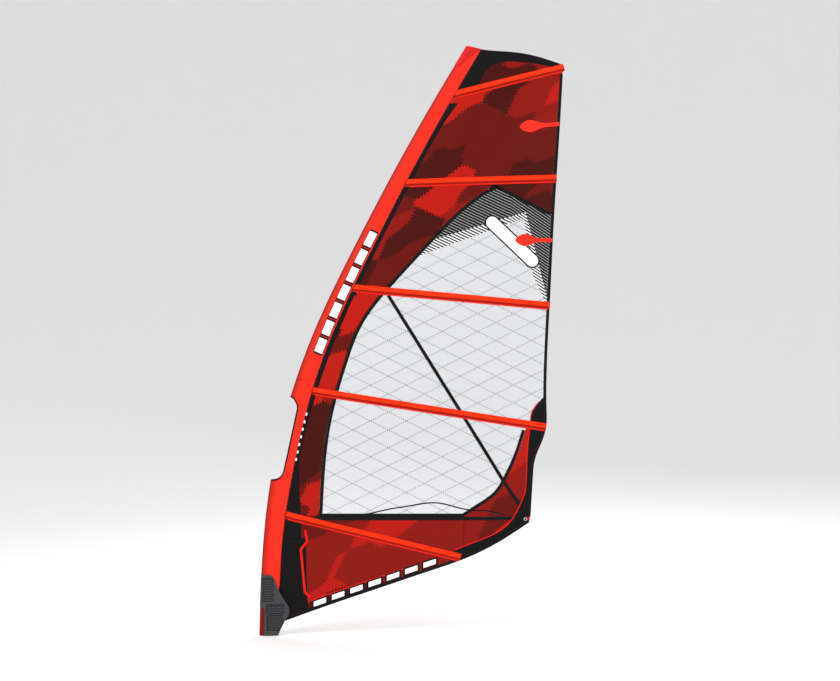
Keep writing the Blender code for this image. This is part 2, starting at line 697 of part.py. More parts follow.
# ---- tack fittings ------------------------------------------------------------------------
def buildTackBlock():
    half, cheek = 0.0113, 0.0020
    low, high = sheaveZ - 0.012, sheaveZ + 0.040
    frame = box("tack_block_frame", (blockX - half, -0.0105, low),
                (blockX + half, 0.0105, high), steel, rough=0.3, metal=1.0)
    cut(frame, box("sheave_slot_cutter", (blockX - half + cheek, -0.02, low - 0.01),
                   (blockX + half - cheek, 0.02, sheaveZ + 0.0125), steel))
    cut(frame, box("webbing_slot_cutter", (blockX - half + cheek, -0.02, high - 0.014),
                   (blockX + half - cheek, 0.02, high - 0.006), steel))
    center = (blockX, 0, sheaveZ)
    cut(frame, turned("axle_hole_cutter", center, (1, 0, 0), (0, 0, 1),
                      [(-0.02, 0.0027), (0.02, 0.0027)], 16, steel))
    turned("tack_block_axle", center, (1, 0, 0), (0, 0, 1),
           [(-half - 0.0006, 0.0024), (half + 0.0006, 0.0024)], 16, steel, rough=0.2, metal=1.0)
    for k in (-1, 0, 1):
        x = blockX + k * 0.0060
        profile = [(-0.0026, 0.0028), (0.0026, 0.0028), (0.0026, 0.0085), (0.0010, 0.0066),
                   (-0.0010, 0.0066), (-0.0026, 0.0085)]
        sheave = turned(f"tack_sheave_{k + 2}", (x, 0, sheaveZ), (1, 0, 0), (0, 0, 1), profile,
                        20, (0.75, 0.75, 0.73), ring=True)
        moveOrigin(sheave, (x, 0, sheaveZ))
    buildWebbing(high)


def buildWebbing(high):
    """Strap over the block's top bar, one leg up each side of the tack."""
    bar = high - 0.0030
    port, star = pocketBase + 0.0006, clothHalf + gap + 0.0006
    top = 0.200
    loop = [(-0.0114, bar - 0.0005), (-0.0109, bar - 0.0036), (0.0109, bar - 0.0036),
            (0.0114, bar - 0.0005)]
    outer = [(-port - 0.0012, top), (-port - 0.0012, 0.125), (-0.0128, 0.0865)]
    outer += [(y * 1.11, z - 0.0012 * (z < bar - 0.001)) for y, z in loop]
    outer += [(0.0128, 0.0865), (star + 0.0012, 0.125), (star + 0.0012, top)]
    inner = [(-port, top), (-port, 0.1245), (-0.0115, 0.0860)]
    inner += loop
    inner += [(0.0115, 0.0860), (star, 0.1245), (star, top)]
    skins = []
    for line in (inner, outer):
        skin = []
        for x in (blockX - 0.0088, blockX + 0.0088):
            skin.append([(x, y + float(middleY(x, z)), z) for y, z in line])
        skins.append(np.array(skin))
    shell("tack_webbing", skins[0], skins[1], black, smooth=False)


def fairingInner(x, z):
    """Inside of the moulded fairing, measured out from the middle of the sail."""
    s = np.clip((x - luffX(z)) / sleeveWide(z), 0, 1)
    near = sleeveDepth(np.sqrt(s), z) + 0.0046
    nose = luffX(z) + 0.040
    fat = 0.0305 + (0.0165 - 0.0305) * np.clip((x - nose) / 0.115, 0, 1)
    return np.where(x < nose, np.minimum(near, 0.0305), np.maximum(fat, near))


def buildFairing(name, side):
    rows = [0.000, 0.045, 0.100, 0.142, 0.178, 0.1885, 0.2005, 0.250, 0.301, 0.360, 0.408, 0.424]
    rear = spline([(0.0, 0.1035), (0.10, 0.152), (0.178, 0.183), (0.235, 0.155), (0.301, 0.116),
                   (0.360, 0.090), (0.408, 0.068), (0.424, 0.052)])
    skins = [[], []]
    for z in rows:
        step = 0.035 if z < 0.19 else 0.0035
        x0 = float(luffX(z)) + step
        mix = np.linspace(0, 1, 11) ** 1.3
        x = x0 + (float(rear(z)) - x0) * mix
        zz = np.full_like(x, z)
        inner = fairingInner(x, zz)
        thick = 0.0045 - 0.0025 * mix ** 4
        for skin, off in zip(skins, (inner, inner + thick)):
            skin.append(np.column_stack([x, middleY(x, zz) + side * off, zz]))
    return shell(name, np.array(skins[0]), np.array(skins[1]), rubber)


def buildTack():
    buildTackBlock()
    buildFairing("fairing_port", -1)
    flap = buildFairing("fairing_starboard", 1)
    moveOrigin(flap, (float(luffX(0.2)), 0, 0.2))


clearScene()
buildSleeve()
buildPanels()
buildTapes()
buildClew()
for number in (1, 2, 3, 4, 5):
    buildBatten(number)
buildMiniBatten(1, (1.793, 3.5546), (2.0700, 3.5770))
buildMiniBatten(2, (1.761, 2.7636), (2.0200, 2.7636))
buildTack()
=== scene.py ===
import bpy
import numpy as np
from math import pi, radians
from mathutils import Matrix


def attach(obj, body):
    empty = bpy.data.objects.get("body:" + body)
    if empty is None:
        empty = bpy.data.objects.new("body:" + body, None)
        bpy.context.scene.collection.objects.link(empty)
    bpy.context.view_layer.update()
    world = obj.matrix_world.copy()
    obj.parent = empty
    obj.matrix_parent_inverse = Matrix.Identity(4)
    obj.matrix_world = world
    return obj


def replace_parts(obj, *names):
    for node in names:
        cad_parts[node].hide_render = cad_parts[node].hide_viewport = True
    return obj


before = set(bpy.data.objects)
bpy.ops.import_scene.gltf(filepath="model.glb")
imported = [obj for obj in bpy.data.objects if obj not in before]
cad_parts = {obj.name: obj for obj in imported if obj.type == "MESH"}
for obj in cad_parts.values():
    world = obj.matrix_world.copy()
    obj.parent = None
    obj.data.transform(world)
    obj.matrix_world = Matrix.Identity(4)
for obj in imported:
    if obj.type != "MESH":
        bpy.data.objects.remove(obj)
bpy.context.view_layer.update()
print("frame loaded")

# The sail's own lines, in metres. Each list is a natural cubic through its stations.
sail = {
    "luff": [(0.00, -0.029), (0.55, -0.009), (1.10, 0.053), (1.65, 0.183), (2.20, 0.386),
             (2.75, 0.652), (3.30, 0.942), (3.75, 1.197), (4.13, 1.424)],  # height, x
    "sleeve": [(0.00, 0.104), (0.12, 0.105), (0.22, 0.112), (0.33, 0.130), (0.44, 0.134),
               (0.66, 0.134), (1.09, 0.145), (1.80, 0.138), (2.35, 0.136), (3.05, 0.128),
               (4.13, 0.118)],  # height, width laid flat
    "leech": [(0.78, 1.866), (0.95, 1.876), (1.13, 1.887), (1.23, 1.900), (1.36, 1.951),
              (1.47, 1.980), (1.60, 1.981), (1.80, 1.981), (2.01, 1.988), (2.42, 2.009),
              (2.85, 2.030), (3.58, 2.076), (4.02, 2.100)],  # height, x
    "foot": [(0.10, 0.080), (0.48, 0.217), (0.81, 0.329), (1.14, 0.441), (1.45, 0.552),
             (1.67, 0.665), (1.87, 0.796)],  # x, height
    "head": [(1.42, 4.124), (1.513, 4.101), (1.70, 4.083), (1.88, 4.058), (2.10, 3.990)],
    "window": [(0.82, 0.389), (1.09, 0.403), (1.37, 0.431), (1.65, 0.487), (1.93, 0.571),
               (2.21, 0.690), (2.49, 0.914), (2.77, 1.173), (3.05, 1.474), (3.14, 1.600)],
    "windowRear": [(0.83, 1.381), (0.91, 1.517), (0.987, 1.625), (1.07, 1.685),
                   (1.225, 1.761), (1.48, 1.846)],
    "windowApex": (1.616, 3.140),
    "windowTopRear": (2.027, 2.933),
    "strapHeight": 0.826,
    "battens": [((1.3454, 3.7835), (2.100, 3.9725)), ((0.9975, 3.1626), (2.0545, 3.1976)),
                ((0.6230, 2.4290), (2.0090, 2.3051)), ((0.3290, 1.7129), (1.9810, 1.4560)),
                ((0.1610, 0.8400), (1.4175, 0.5355))],
    "draft": 0.040,  # deepest bow of the sail body
    "chordEnd": 2.10,
    "clothHalf": 0.0005,
}


# Natural cubic through the stations: second slopes from one solve, then a cubic in each gap.
def spline(stations):
    t, v = (np.array(c, float) for c in zip(*stations))
    h = np.diff(t)
    n = len(t)
    a = np.eye(n)
    r = np.zeros(n)
    inner = np.arange(1, n - 1)
    a[inner, inner - 1] = h[:-1]
    a[inner, inner] = 2 * (h[:-1] + h[1:])
    a[inner, inner + 1] = h[1:]
    r[inner] = 6 * (np.diff(v)[1:] / h[1:] - np.diff(v)[:-1] / h[:-1])
    m = np.linalg.solve(a, r)

    def value(x):
        x = np.asarray(x, float)
        i = np.clip(np.searchsorted(t, x) - 1, 0, n - 2)
        p = (t[i + 1] - x) / h[i]
        q = (x - t[i]) / h[i]
        return p * v[i] + q * v[i + 1] + ((p**3 - p) * m[i] + (q**3 - q) * m[i + 1]) * h[i] ** 2 / 6
    return value


luffX = spline(sail["luff"])
sleeveWide = spline(sail["sleeve"])
leechX = spline(sail["leech"])
footEdge = spline(sail["foot"])
headEdge = spline(sail["head"])
windowFront = spline(sail["window"])
windowRear = spline(sail["windowRear"])


def seamX(z):
    return luffX(z) + sleeveWide(z)


def footZ(x):
    return np.maximum(footEdge(x), 0.092)


# Bow to port: draft * sin(pi t)^1.2 * sin(pi u^0.8)^1.25, t the share of height, u the share of chord.
def middleY(x, z):
    t = np.clip((np.asarray(z, float) - 0.12) / 4.5, 0, 1)
    u = np.clip((x - luffX(z)) / (sail["chordEnd"] - luffX(z)), 0, 1)
    return -sail["draft"] * np.sin(pi * t) ** 1.2 * np.sin(pi * u**0.8) ** 1.25


def battenZ(number):
    (x0, z0), (x1, z1) = sail["battens"][number - 1]
    return lambda x: z0 + (np.asarray(x, float) - x0) * (z1 - z0) / (x1 - x0)


def level(height):
    return lambda x: np.full_like(np.asarray(x, float), height)


def gridFaces(n, m, closed=False):  # quads of an n by m grid of points, closed joins last column to first
    i, j = np.meshgrid(np.arange(n - 1), np.arange(m if closed else m - 1), indexing="ij")
    k = (j + 1) % m
    return np.stack([i * m + j, i * m + k, (i + 1) * m + k, (i + 1) * m + j], -1).reshape(-1, 4)


def addPiece(name, points, faces, material, body="sail", uv=None, smooth=True):
    mesh = bpy.data.meshes.new(name)
    mesh.from_pydata(np.asarray(points, float).tolist(), [], [list(f) for f in faces])
    if uv is not None:
        layer = mesh.uv_layers.new(name="cloth")
        index = np.zeros(len(mesh.loops), int)
        mesh.loops.foreach_get("vertex_index", index)
        layer.data.foreach_set("uv", np.asarray(uv, float)[index].ravel())
    mesh.polygons.foreach_set("use_smooth", np.full(len(mesh.polygons), smooth))
    mesh.materials.append(material)
    mesh.update()
    piece = bpy.data.objects.new(name, mesh)
    bpy.context.scene.collection.objects.link(piece)
    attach(piece, body)
    return piece


# Closed thin shell: the same grid twice, once at each skin, with a strip of quads round the rim.
def shellPiece(name, first, second, material, body="sail", uv=None, smooth=True):
    n, m = first.shape[:2]
    count = n * m
    index = np.arange(count).reshape(n, m)
    rim = np.concatenate([index[0], index[1:, -1], index[-1, -2::-1], index[-2:0:-1, 0]])
    strip = np.stack([rim, rim + count, np.roll(rim, -1) + count, np.roll(rim, -1)], -1)
    top = gridFaces(n, m)
    faces = np.vstack([top, top[:, ::-1] + count, strip])
    points = np.vstack([first.reshape(-1, 3), second.reshape(-1, 3)])
    if uv is not None:
        uv = np.vstack([uv.reshape(-1, 2)] * 2)
    return addPiece(name, points, outward(points, faces), material, body, uv, smooth)


def volumeOf(points, faces):  # signed volume by summing tetrahedra from the first point
    p = points[faces] - points[0]
    first = np.einsum("ij,ij->i", p[:, 0], np.cross(p[:, 1], p[:, 2]))
    second = np.einsum("ij,ij->i", p[:, 0], np.cross(p[:, 2], p[:, 3]))
    return (first + second).sum() / 6


def outward(points, faces):  # quads turned so that the volume they close is positive
    return faces if volumeOf(points, faces) > 0 else faces[:, ::-1]


# Cloth between two offsets from the draft, over a grid of (x, height).
def clothPiece(name, grid, near, far, material, uv=None):
    x, z = grid[..., 0], grid[..., 1]
    y = middleY(x, z)
    skins = [np.stack([x, y + o, z], -1) for o in (near, far)]
    return shellPiece(name, skins[0], skins[1], material, uv=uv)


# Grid between two rows and two edges: rows are blends, their ends found by repeated substitution.
def bandGrid(lower, upper, front, rear, rows, columns, span=(0, 1)):
    v = np.linspace(span[0], span[1], rows + 1)
    ends = []
    for edge in (front, rear):
        x = np.ones_like(v)
        for _ in range(30):
            x = edge((1 - v) * lower(x) + v * upper(x)) + 0 * v
        ends.append(x)
    u = np.linspace(0, 1, columns + 1)
    x = ends[0][:, None] * (1 - u) + ends[1][:, None] * u
    z = (1 - v[:, None]) * lower(x) + v[:, None] * upper(x)
    return np.stack([x, z], -1)


def railGrid(first, second, columns):
    u = np.linspace(0, 1, columns + 1)[None, :, None]
    return np.asarray(first)[:, None] * (1 - u) + np.asarray(second)[:, None] * u


# Points at even spacing along a polyline, with its own corner points kept among them.
def resample(points, step):
    points = np.asarray(points, float)
    run = np.r_[0, np.cumsum(np.linalg.norm(np.diff(points, axis=0), axis=1))]
    at = np.union1d(np.linspace(0, run[-1], max(2, int(run[-1] / step) + 1)), run)
    at = at[np.r_[True, np.diff(at) > 1e-5]]
    return np.stack([np.interp(at, run, points[:, k]) for k in (0, 1)], -1)


def leftOf(path):  # unit vectors to the left of a path, mitred at its corners
    run = np.diff(path, axis=0)
    run /= np.linalg.norm(run, axis=1)[:, None]
    left = np.stack([-run[:, 1], run[:, 0]], -1)
    mean = np.vstack([left[:1], left]) + np.vstack([left, left[-1:]])
    return mean * 2 / np.maximum((mean * mean).sum(1), 0.6)[:, None]


def runLength(path):
    return np.r_[0, np.cumsum(np.linalg.norm(np.diff(path, axis=0), axis=1))]


# Ribbon of cloth along a path; its uv is metres along and metres across.
def ribbonPiece(name, path, half, near, far, material, step=0.02, columns=2):
    path = resample(path, step)
    side = leftOf(path) * half
    grid = railGrid(path - side, path + side, columns)
    across = np.linspace(-half, half, columns + 1)
    uv = np.stack(np.broadcast_arrays(runLength(path)[:, None], across[None, :]), -1)
    return clothPiece(name, grid, near, far, material, uv=uv)


def turnedPiece(name, center, axis, up, profile, count, material, body="sail"):
    center, axis, up = (np.array(v, float) for v in (center, axis, up))
    axis /= np.linalg.norm(axis)
    up -= axis * up.dot(axis)
    up /= np.linalg.norm(up)
    side = np.cross(axis, up)
    t = np.linspace(0, 2 * pi, count, endpoint=False)
    d, r = (np.array(c, float)[:, None, None] for c in zip(*profile))
    ring = np.cos(t)[None, :, None] * side + np.sin(t)[None, :, None] * up
    points = center + d * axis + r * ring
    points = np.concatenate([points, points[:1]])
    n = len(profile)
    faces = gridFaces(n + 1, count, closed=True) % (n * count)
    points = points[:-1].reshape(-1, 3)
    return addPiece(name, points, outward(points, faces), material, body)


def linear(red, green, blue):  # screen colour, 0 to 255, to scene colour
    c = np.array([red, green, blue]) / 255
    c = np.where(c <= 0.04045, c / 12.92, ((c + 0.055) / 1.055) ** 2.4)
    return (*map(float, c), 1.0)


class Nodes:  # short way to write a node tree
    def __init__(self, name, roughness=0.5, color=(0.5, 0.5, 0.5, 1), metallic=0.0, gloss=0.12):
        self.material = bpy.data.materials.new(name)
        self.material.use_nodes = True
        self.tree = self.material.node_tree
        self.shader = self.tree.nodes["Principled BSDF"]
        self.put("Base Color", color)
        self.put("Roughness", roughness)
        self.put("Metallic", metallic)
        self.put("Specular IOR Level", 0.5 if metallic else gloss)

    def put(self, socket, value):
        if isinstance(value, bpy.types.NodeSocket):
            self.tree.links.new(value, self.shader.inputs[socket])
        else:
            self.shader.inputs[socket].default_value = value

    def add(self, kind, **values):
        node = self.tree.nodes.new(kind)
        for key, value in values.items():
            setattr(node, key, value)
        return node

    def feed(self, node, index, value):
        if isinstance(value, bpy.types.NodeSocket):
            self.tree.links.new(value, node.inputs[index])
        elif value is not None:
            node.inputs[index].default_value = value

    def math(self, operation, a, b=None):
        node = self.add("ShaderNodeMath", operation=operation)
        self.feed(node, 0, a)
        self.feed(node, 1, b)
        return node.outputs[0]

    def mix(self, share, a, b):
        node = self.add("ShaderNodeMix", data_type="RGBA")
        self.feed(node, 0, share)
        self.feed(node, 6, a)
        self.feed(node, 7, b)
        return node.outputs[2]

    def place(self):  # x and height in metres
        where = self.add("ShaderNodeTexCoord").outputs["Object"]
        split = self.add("ShaderNodeSeparateXYZ")
        self.feed(split, 0, where)
        return where, split.outputs[0], split.outputs[2]

    def cloth(self):  # metres along and across a piece's own surface
        uv = self.add("ShaderNodeUVMap", uv_map="cloth").outputs[0]
        split = self.add("ShaderNodeSeparateXYZ")
        self.feed(split, 0, uv)
        return split.outputs[0], split.outputs[1]

    def noise(self, where, scale, detail=2.0, rough=0.5):
        node = self.add("ShaderNodeTexNoise")
        self.feed(node, "Vector", where)
        node.inputs["Scale"].default_value = scale
        node.inputs["Detail"].default_value = detail
        node.inputs["Roughness"].default_value = rough
        return node.outputs["Fac"]

    def near(self, value, pitch, half):  # 1 within half of every multiple of pitch
        wave = self.math("PINGPONG", value, pitch / 2)
        return self.math("LESS_THAN", wave, half)

    def bump(self, height, strength, distance):
        node = self.add("ShaderNodeBump")
        node.inputs["Strength"].default_value = strength
        node.inputs["Distance"].default_value = distance
        self.feed(node, "Height", height)
        self.put("Normal", node.outputs[0])

    def weave(self, pitch=0.0016, strength=0.25):  # two crossed sets of threads
        where, x, z = self.place()
        a = self.math("SINE", self.math("MULTIPLY", x, 2 * pi / pitch))
        b = self.math("SINE", self.math("MULTIPLY", z, 2 * pi / pitch))
        self.bump(self.math("MULTIPLY", a, b), strength, 0.0002)
        return where, x, z


def shadeBy(nodes, where, color, spread, scale=3.0):  # a little uneven, lighter and darker by spread
    fac = nodes.noise(where, scale, 3.0)
    dark = tuple(c * (1 - spread) for c in color[:3]) + (1,)
    light = tuple(min(1, c * (1 + spread)) for c in color[:3]) + (1,)
    return nodes.mix(fac, dark, light)


def wovenMaterial(name, color, roughness, spread=0.10, sheen=0.02):
    nodes = Nodes(name, roughness, color)
    where = nodes.weave()[0]
    nodes.put("Base Color", shadeBy(nodes, where, color, spread))
    nodes.put("Sheen Weight", sheen)
    return nodes.material


# Sleeve cloth: painted shade, dark at the nose where the round sleeve turns away from the light, full red
# from "full" of the width back to the seam; "uneven" is a random change of tone.
noseShadeAndTone = {"middle": 0.10, "full": 0.42, "uneven": 0.18}


def sleeveMaterial(name):
    nodes = Nodes(name, 0.5, linear(246, 44, 28))
    where = nodes.weave(0.0018)[0]
    share = nodes.cloth()[0]
    # Painted shade: this ramp darkens the red from the seam towards the sleeve's nose.
    ramp = nodes.add("ShaderNodeValToRGB")
    ramp.color_ramp.elements[0].color = linear(118, 20, 10)
    ramp.color_ramp.elements[1].position = noseShadeAndTone["full"]
    ramp.color_ramp.elements[1].color = linear(246, 42, 26)
    middle = ramp.color_ramp.elements.new(noseShadeAndTone["middle"])
    middle.color = linear(176, 30, 18)
    nodes.feed(ramp, 0, share)
    uneven = nodes.math("MULTIPLY", nodes.noise(where, 4.0, 3.0), noseShadeAndTone["uneven"])
    nodes.put("Base Color", nodes.mix(uneven, ramp.outputs[0], linear(214, 30, 18)))
    return nodes.material


stitch = {"pitch": 0.006, "long": 0.0019, "wide": 0.0006, "inset": 0.0035}


# Woven tape with a row of stitches near each edge, by the piece's own uv.
def stitchedMaterial(name, color, thread, half):
    nodes = Nodes(name, 0.6, color)
    where = nodes.place()[0]
    along, across = nodes.cloth()
    edge = nodes.math("SUBTRACT", nodes.math("ABSOLUTE", across), half - stitch["inset"])
    onRow = nodes.math("LESS_THAN", nodes.math("ABSOLUTE", edge), stitch["wide"])
    dash = nodes.near(along, stitch["pitch"], stitch["long"])
    mask = nodes.math("MULTIPLY", onRow, dash)
    base = shadeBy(nodes, where, color, 0.12, 6.0)
    nodes.put("Base Color", nodes.mix(mask, base, thread))
    rib = nodes.math("SINE", nodes.math("MULTIPLY", across, 2 * pi / 0.0018))
    nodes.bump(nodes.math("ADD", nodes.math("MULTIPLY", rib, 0.3), mask), 0.35, 0.0004)
    return nodes.material


# Metres from the middle of the tape; the two bands lie towards its lower edge, "dark" marking painted shade
# under the tunnel.
pocketBand = {"dark": -0.0072, "light": -0.0215, "row": 0.0190, "thread": 0.0007}


# Pocket tape: bright above, a dark band of painted shade along the lower third under the raised tunnel, a
# light edge, stitches at both sides.
def pocketMaterial(name):
    nodes = Nodes(name, 0.42, linear(240, 46, 2))
    where = nodes.weave(0.0018, 0.2)[0]
    along, across = nodes.cloth()
    low = nodes.math("LESS_THAN", across, pocketBand["dark"])
    edge = nodes.math("LESS_THAN", across, pocketBand["light"])
    row = nodes.math("SUBTRACT", nodes.math("ABSOLUTE", across), pocketBand["row"])
    dash = nodes.near(along, stitch["pitch"], stitch["long"])
    onRow = nodes.math("LESS_THAN", nodes.math("ABSOLUTE", row), pocketBand["thread"])
    mask = nodes.math("MULTIPLY", onRow, dash)
    # Painted shade: the tape's lower third, below the tunnel, darkened to deep red.
    withPaintedShade = nodes.mix(low, shadeBy(nodes, where, linear(240, 46, 2), 0.05), linear(158, 13, 0))
    rimmed = nodes.mix(edge, withPaintedShade, linear(214, 44, 16))
    nodes.put("Base Color", nodes.mix(mask, rimmed, linear(96, 10, 4)))
    return nodes.material


camo = {
    "tones": [(66, 5, 0), (98, 9, 2), (133, 14, 4), (176, 19, 5)],
    "shares": [0.0, 0.26, 0.50, 0.80],
    "patch": 0.30,  # metres across a patch
    "tooth": 0.022, "toothDeep": 0.020,
    "dot": 0.0105, "dotShare": 0.17,
    "leanX": -0.45, "leanZ": -0.35, "tall": 1.5,
}


# Angular patches: a Voronoi pattern in four reds, its edges nicked by small triangle waves, and dots.
def camoMaterial(name, shift):
    tones = camo["tones"]
    nodes = Nodes(name, 0.42, linear(*tones[2]))
    x, z = nodes.weave(0.0022, 0.15)[1:]
    toothX = nodes.math("MULTIPLY", nodes.math("PINGPONG", z, camo["tooth"] / 2),
                        2 * camo["toothDeep"] / camo["tooth"])
    toothZ = nodes.math("MULTIPLY", nodes.math("PINGPONG", x, camo["tooth"] / 2),
                        2 * camo["toothDeep"] / camo["tooth"])
    px = nodes.math("ADD", nodes.math("ADD", x, toothX), shift[0])
    pz = nodes.math("ADD", nodes.math("ADD", z, toothZ), shift[1])
    turned = nodes.add("ShaderNodeCombineXYZ")
    nodes.feed(turned, 0, nodes.math("ADD", px, nodes.math("MULTIPLY", pz, camo["leanX"])))
    leaning = nodes.math("ADD", pz, nodes.math("MULTIPLY", px, camo["leanZ"]))
    nodes.feed(turned, 1, nodes.math("MULTIPLY", leaning, camo["tall"]))
    cells = nodes.add("ShaderNodeTexVoronoi", voronoi_dimensions="2D", distance="MANHATTAN")
    nodes.feed(cells, "Vector", turned.outputs[0])
    cells.inputs["Scale"].default_value = 1 / camo["patch"]
    pick = nodes.add("ShaderNodeSeparateColor")
    nodes.feed(pick, 0, cells.outputs["Color"])
    ramp = nodes.add("ShaderNodeValToRGB")
    ramp.color_ramp.interpolation = "CONSTANT"
    while len(ramp.color_ramp.elements) < 4:
        ramp.color_ramp.elements.new(0.9)
    for element, share, tone in zip(ramp.color_ramp.elements, camo["shares"], tones):
        element.position = share
        element.color = linear(*tone)
    nodes.feed(ramp, 0, pick.outputs[0])
    half = camo["dot"] * camo["dotShare"]
    dots = nodes.math("MULTIPLY", nodes.near(nodes.math("ADD", x, z), camo["dot"], half),
                      nodes.near(nodes.math("SUBTRACT", x, z), camo["dot"], half))
    dotted = nodes.mix(nodes.math("MULTIPLY", dots, 0.35), ramp.outputs[0], (0.02, 0.001, 0.001, 1))
    nodes.put("Base Color", dotted)
    return nodes.material


film = {
    "pitch": 0.125, "slope": 0.5, "line": 0.0026, "dash": 0.0046, "dashPitch": 0.0140,
    "hatch": 0.0205, "clear": 0.38,
    "color": (214, 216, 219), "scrim": (105, 107, 110), "grey": (170, 170, 170),
}


# Clear film: dashed scrim in diamonds, and a hatch printed along its top and beside the leech.
def filmMaterial():
    nodes = Nodes("windowFilm", 0.12, linear(*film["color"]))
    where, x, z = nodes.place()
    m = nodes.math
    up = m("SUBTRACT", z, m("MULTIPLY", x, film["slope"]))
    down = m("ADD", z, m("MULTIPLY", x, film["slope"]))
    lines = m("MAXIMUM", nodes.near(up, film["pitch"], film["line"]),
              nodes.near(down, film["pitch"], film["line"]))
    scrim = m("MULTIPLY", lines, nodes.near(x, film["dashPitch"], film["dash"]))
    # hatch zones: left part under the sloping edge, right part beside the leech
    leftBlack = m("GREATER_THAN", m("SUBTRACT", z, m("MULTIPLY", x, 0.297)), 2.413)
    leftWhite = m("GREATER_THAN", m("SUBTRACT", z, m("MULTIPLY", x, 0.356)), 2.266)
    rightBlack = m("GREATER_THAN", m("ADD", x, m("MULTIPLY", z, 0.25)), 2.574)
    rightWide = m("GREATER_THAN", m("ADD", x, m("MULTIPLY", z, 0.46)), 3.045)
    rightTall = m("GREATER_THAN", m("ADD", x, m("MULTIPLY", z, 0.16)), 2.290)
    right = m("MULTIPLY", rightWide, rightTall)
    black = m("MAXIMUM", leftBlack, rightBlack)
    zone = m("MAXIMUM", m("MAXIMUM", black, leftWhite), right)
    isRight = m("GREATER_THAN", x, 1.72)
    slope = m("ADD", 0.466, m("MULTIPLY", isRight, 0.20))
    stripe = m("ADD", z, m("MULTIPLY", x, slope))
    thin = nodes.near(stripe, film["hatch"], film["hatch"] * 0.10)
    thick = nodes.near(stripe, film["hatch"], film["hatch"] * 0.27)
    onBlack = nodes.mix(thin, (0.004, 0.004, 0.004, 1), linear(*film["grey"]))
    onWhite = nodes.mix(thick, (0.86, 0.86, 0.86, 1), (0.004, 0.004, 0.004, 1))
    printed = nodes.mix(black, onWhite, onBlack)
    bare = nodes.mix(scrim, linear(*film["color"]), linear(*film["scrim"]))
    nodes.put("Base Color", nodes.mix(zone, bare, printed))
    cover = m("MAXIMUM", m("MULTIPLY", scrim, 0.85), film["clear"])
    nodes.put("Alpha", m("MAXIMUM", cover, zone))
    ripple = nodes.noise(where, 5.0, 2.0)
    nodes.bump(m("ADD", m("MULTIPLY", ripple, 0.6), m("MULTIPLY", lines, 0.15)), 0.10, 0.004)
    nodes.put("Coat Weight", 0.25)
    nodes.put("Coat Roughness", 0.08)
    return nodes.material


def mouldedMaterial(name, color, roughness, grain=900.0):
    nodes = Nodes(name, roughness, color)
    where = nodes.place()[0]
    nodes.put("Base Color", shadeBy(nodes, where, color, 0.18, 25.0))
    nodes.bump(nodes.noise(where, grain, 2.0), 0.25, 0.0004)
    return nodes.material


fairing = {
    "rear": [(0.0, 0.1035), (0.10, 0.152), (0.178, 0.183), (0.235, 0.155), (0.301, 0.116),
             (0.360, 0.090), (0.408, 0.068), (0.424, 0.052)],  # height, x of the rear edge
    "thick": 0.0045, "fat": 0.0305, "lean": 0.0165,
    "pads": [((0.000, 0.242), (0.068, 0.398)), ((0.026, 0.155), (0.140, 0.215)),
             ((0.030, 0.040), (0.132, 0.138))],  # lower front and upper rear corner of each tread pad
    "padRise": 0.0016, "edge": 0.0022,  # how far a pad stands up, and the thin rim of the shell
    "stud": 0.0042, "studPitch": 0.0165,
}


# Moulded foam with darker tread pads and a thin dark line round each, painted shade standing for a groove,
# placed by x and height.
def fairingMaterial(name):
    nodes = Nodes(name, 0.72, linear(66, 67, 69))
    where, x, z = nodes.place()
    m = nodes.math
    pad = grooveShade = 0.0
    for (x0, z0), (x1, z1) in fairing["pads"]:
        acrossPad = m("MINIMUM", m("SUBTRACT", x, x0), m("SUBTRACT", x1, x))
        upPad = m("MINIMUM", m("SUBTRACT", z, z0), m("SUBTRACT", z1, z))
        depth = m("MINIMUM", acrossPad, upPad)
        pad = m("MAXIMUM", m("GREATER_THAN", depth, 0.0), pad)
        # Painted shade: a near-black line just outside each pad's edge, where a groove's shade would fall.
        rim = m("LESS_THAN", m("ABSOLUTE", m("ADD", depth, 0.002)), 0.0022)
        grooveShade = m("MAXIMUM", rim, grooveShade)
    base = shadeBy(nodes, where, linear(66, 67, 69), 0.15, 25.0)
    padded = nodes.mix(pad, base, linear(46, 47, 49))
    nodes.put("Base Color", nodes.mix(grooveShade, padded, linear(20, 20, 21)))
    nodes.bump(nodes.noise(where, 1400.0, 2.0), 0.25, 0.0004)
    return nodes.material


def brushedMaterial(name, color, roughness):
    nodes = Nodes(name, roughness, color, 1.0)
    where = nodes.place()[0]
    fine = nodes.noise(where, 1400.0, 3.0)
    nodes.put("Roughness", nodes.math("ADD", nodes.math("MULTIPLY", fine, 0.2), roughness - 0.08))
    nodes.bump(fine, 0.08, 0.0001)
    return nodes.material


def fibreMaterial(name, color, roughness):  # fine level lines, close to the way the rods lie
    nodes = Nodes(name, roughness, color)
    z = nodes.place()[2]
    fine = nodes.math("SINE", nodes.math("MULTIPLY", z, 2 * pi / 0.0012))
    nodes.put("Base Color", nodes.mix(nodes.math("MULTIPLY", fine, 0.3), color,
                                      tuple(c * 1.8 for c in color[:3]) + (1,)))
    nodes.bump(fine, 0.1, 0.0001)
    return nodes.material


sleeveCloth = sleeveMaterial("sleeveCloth")
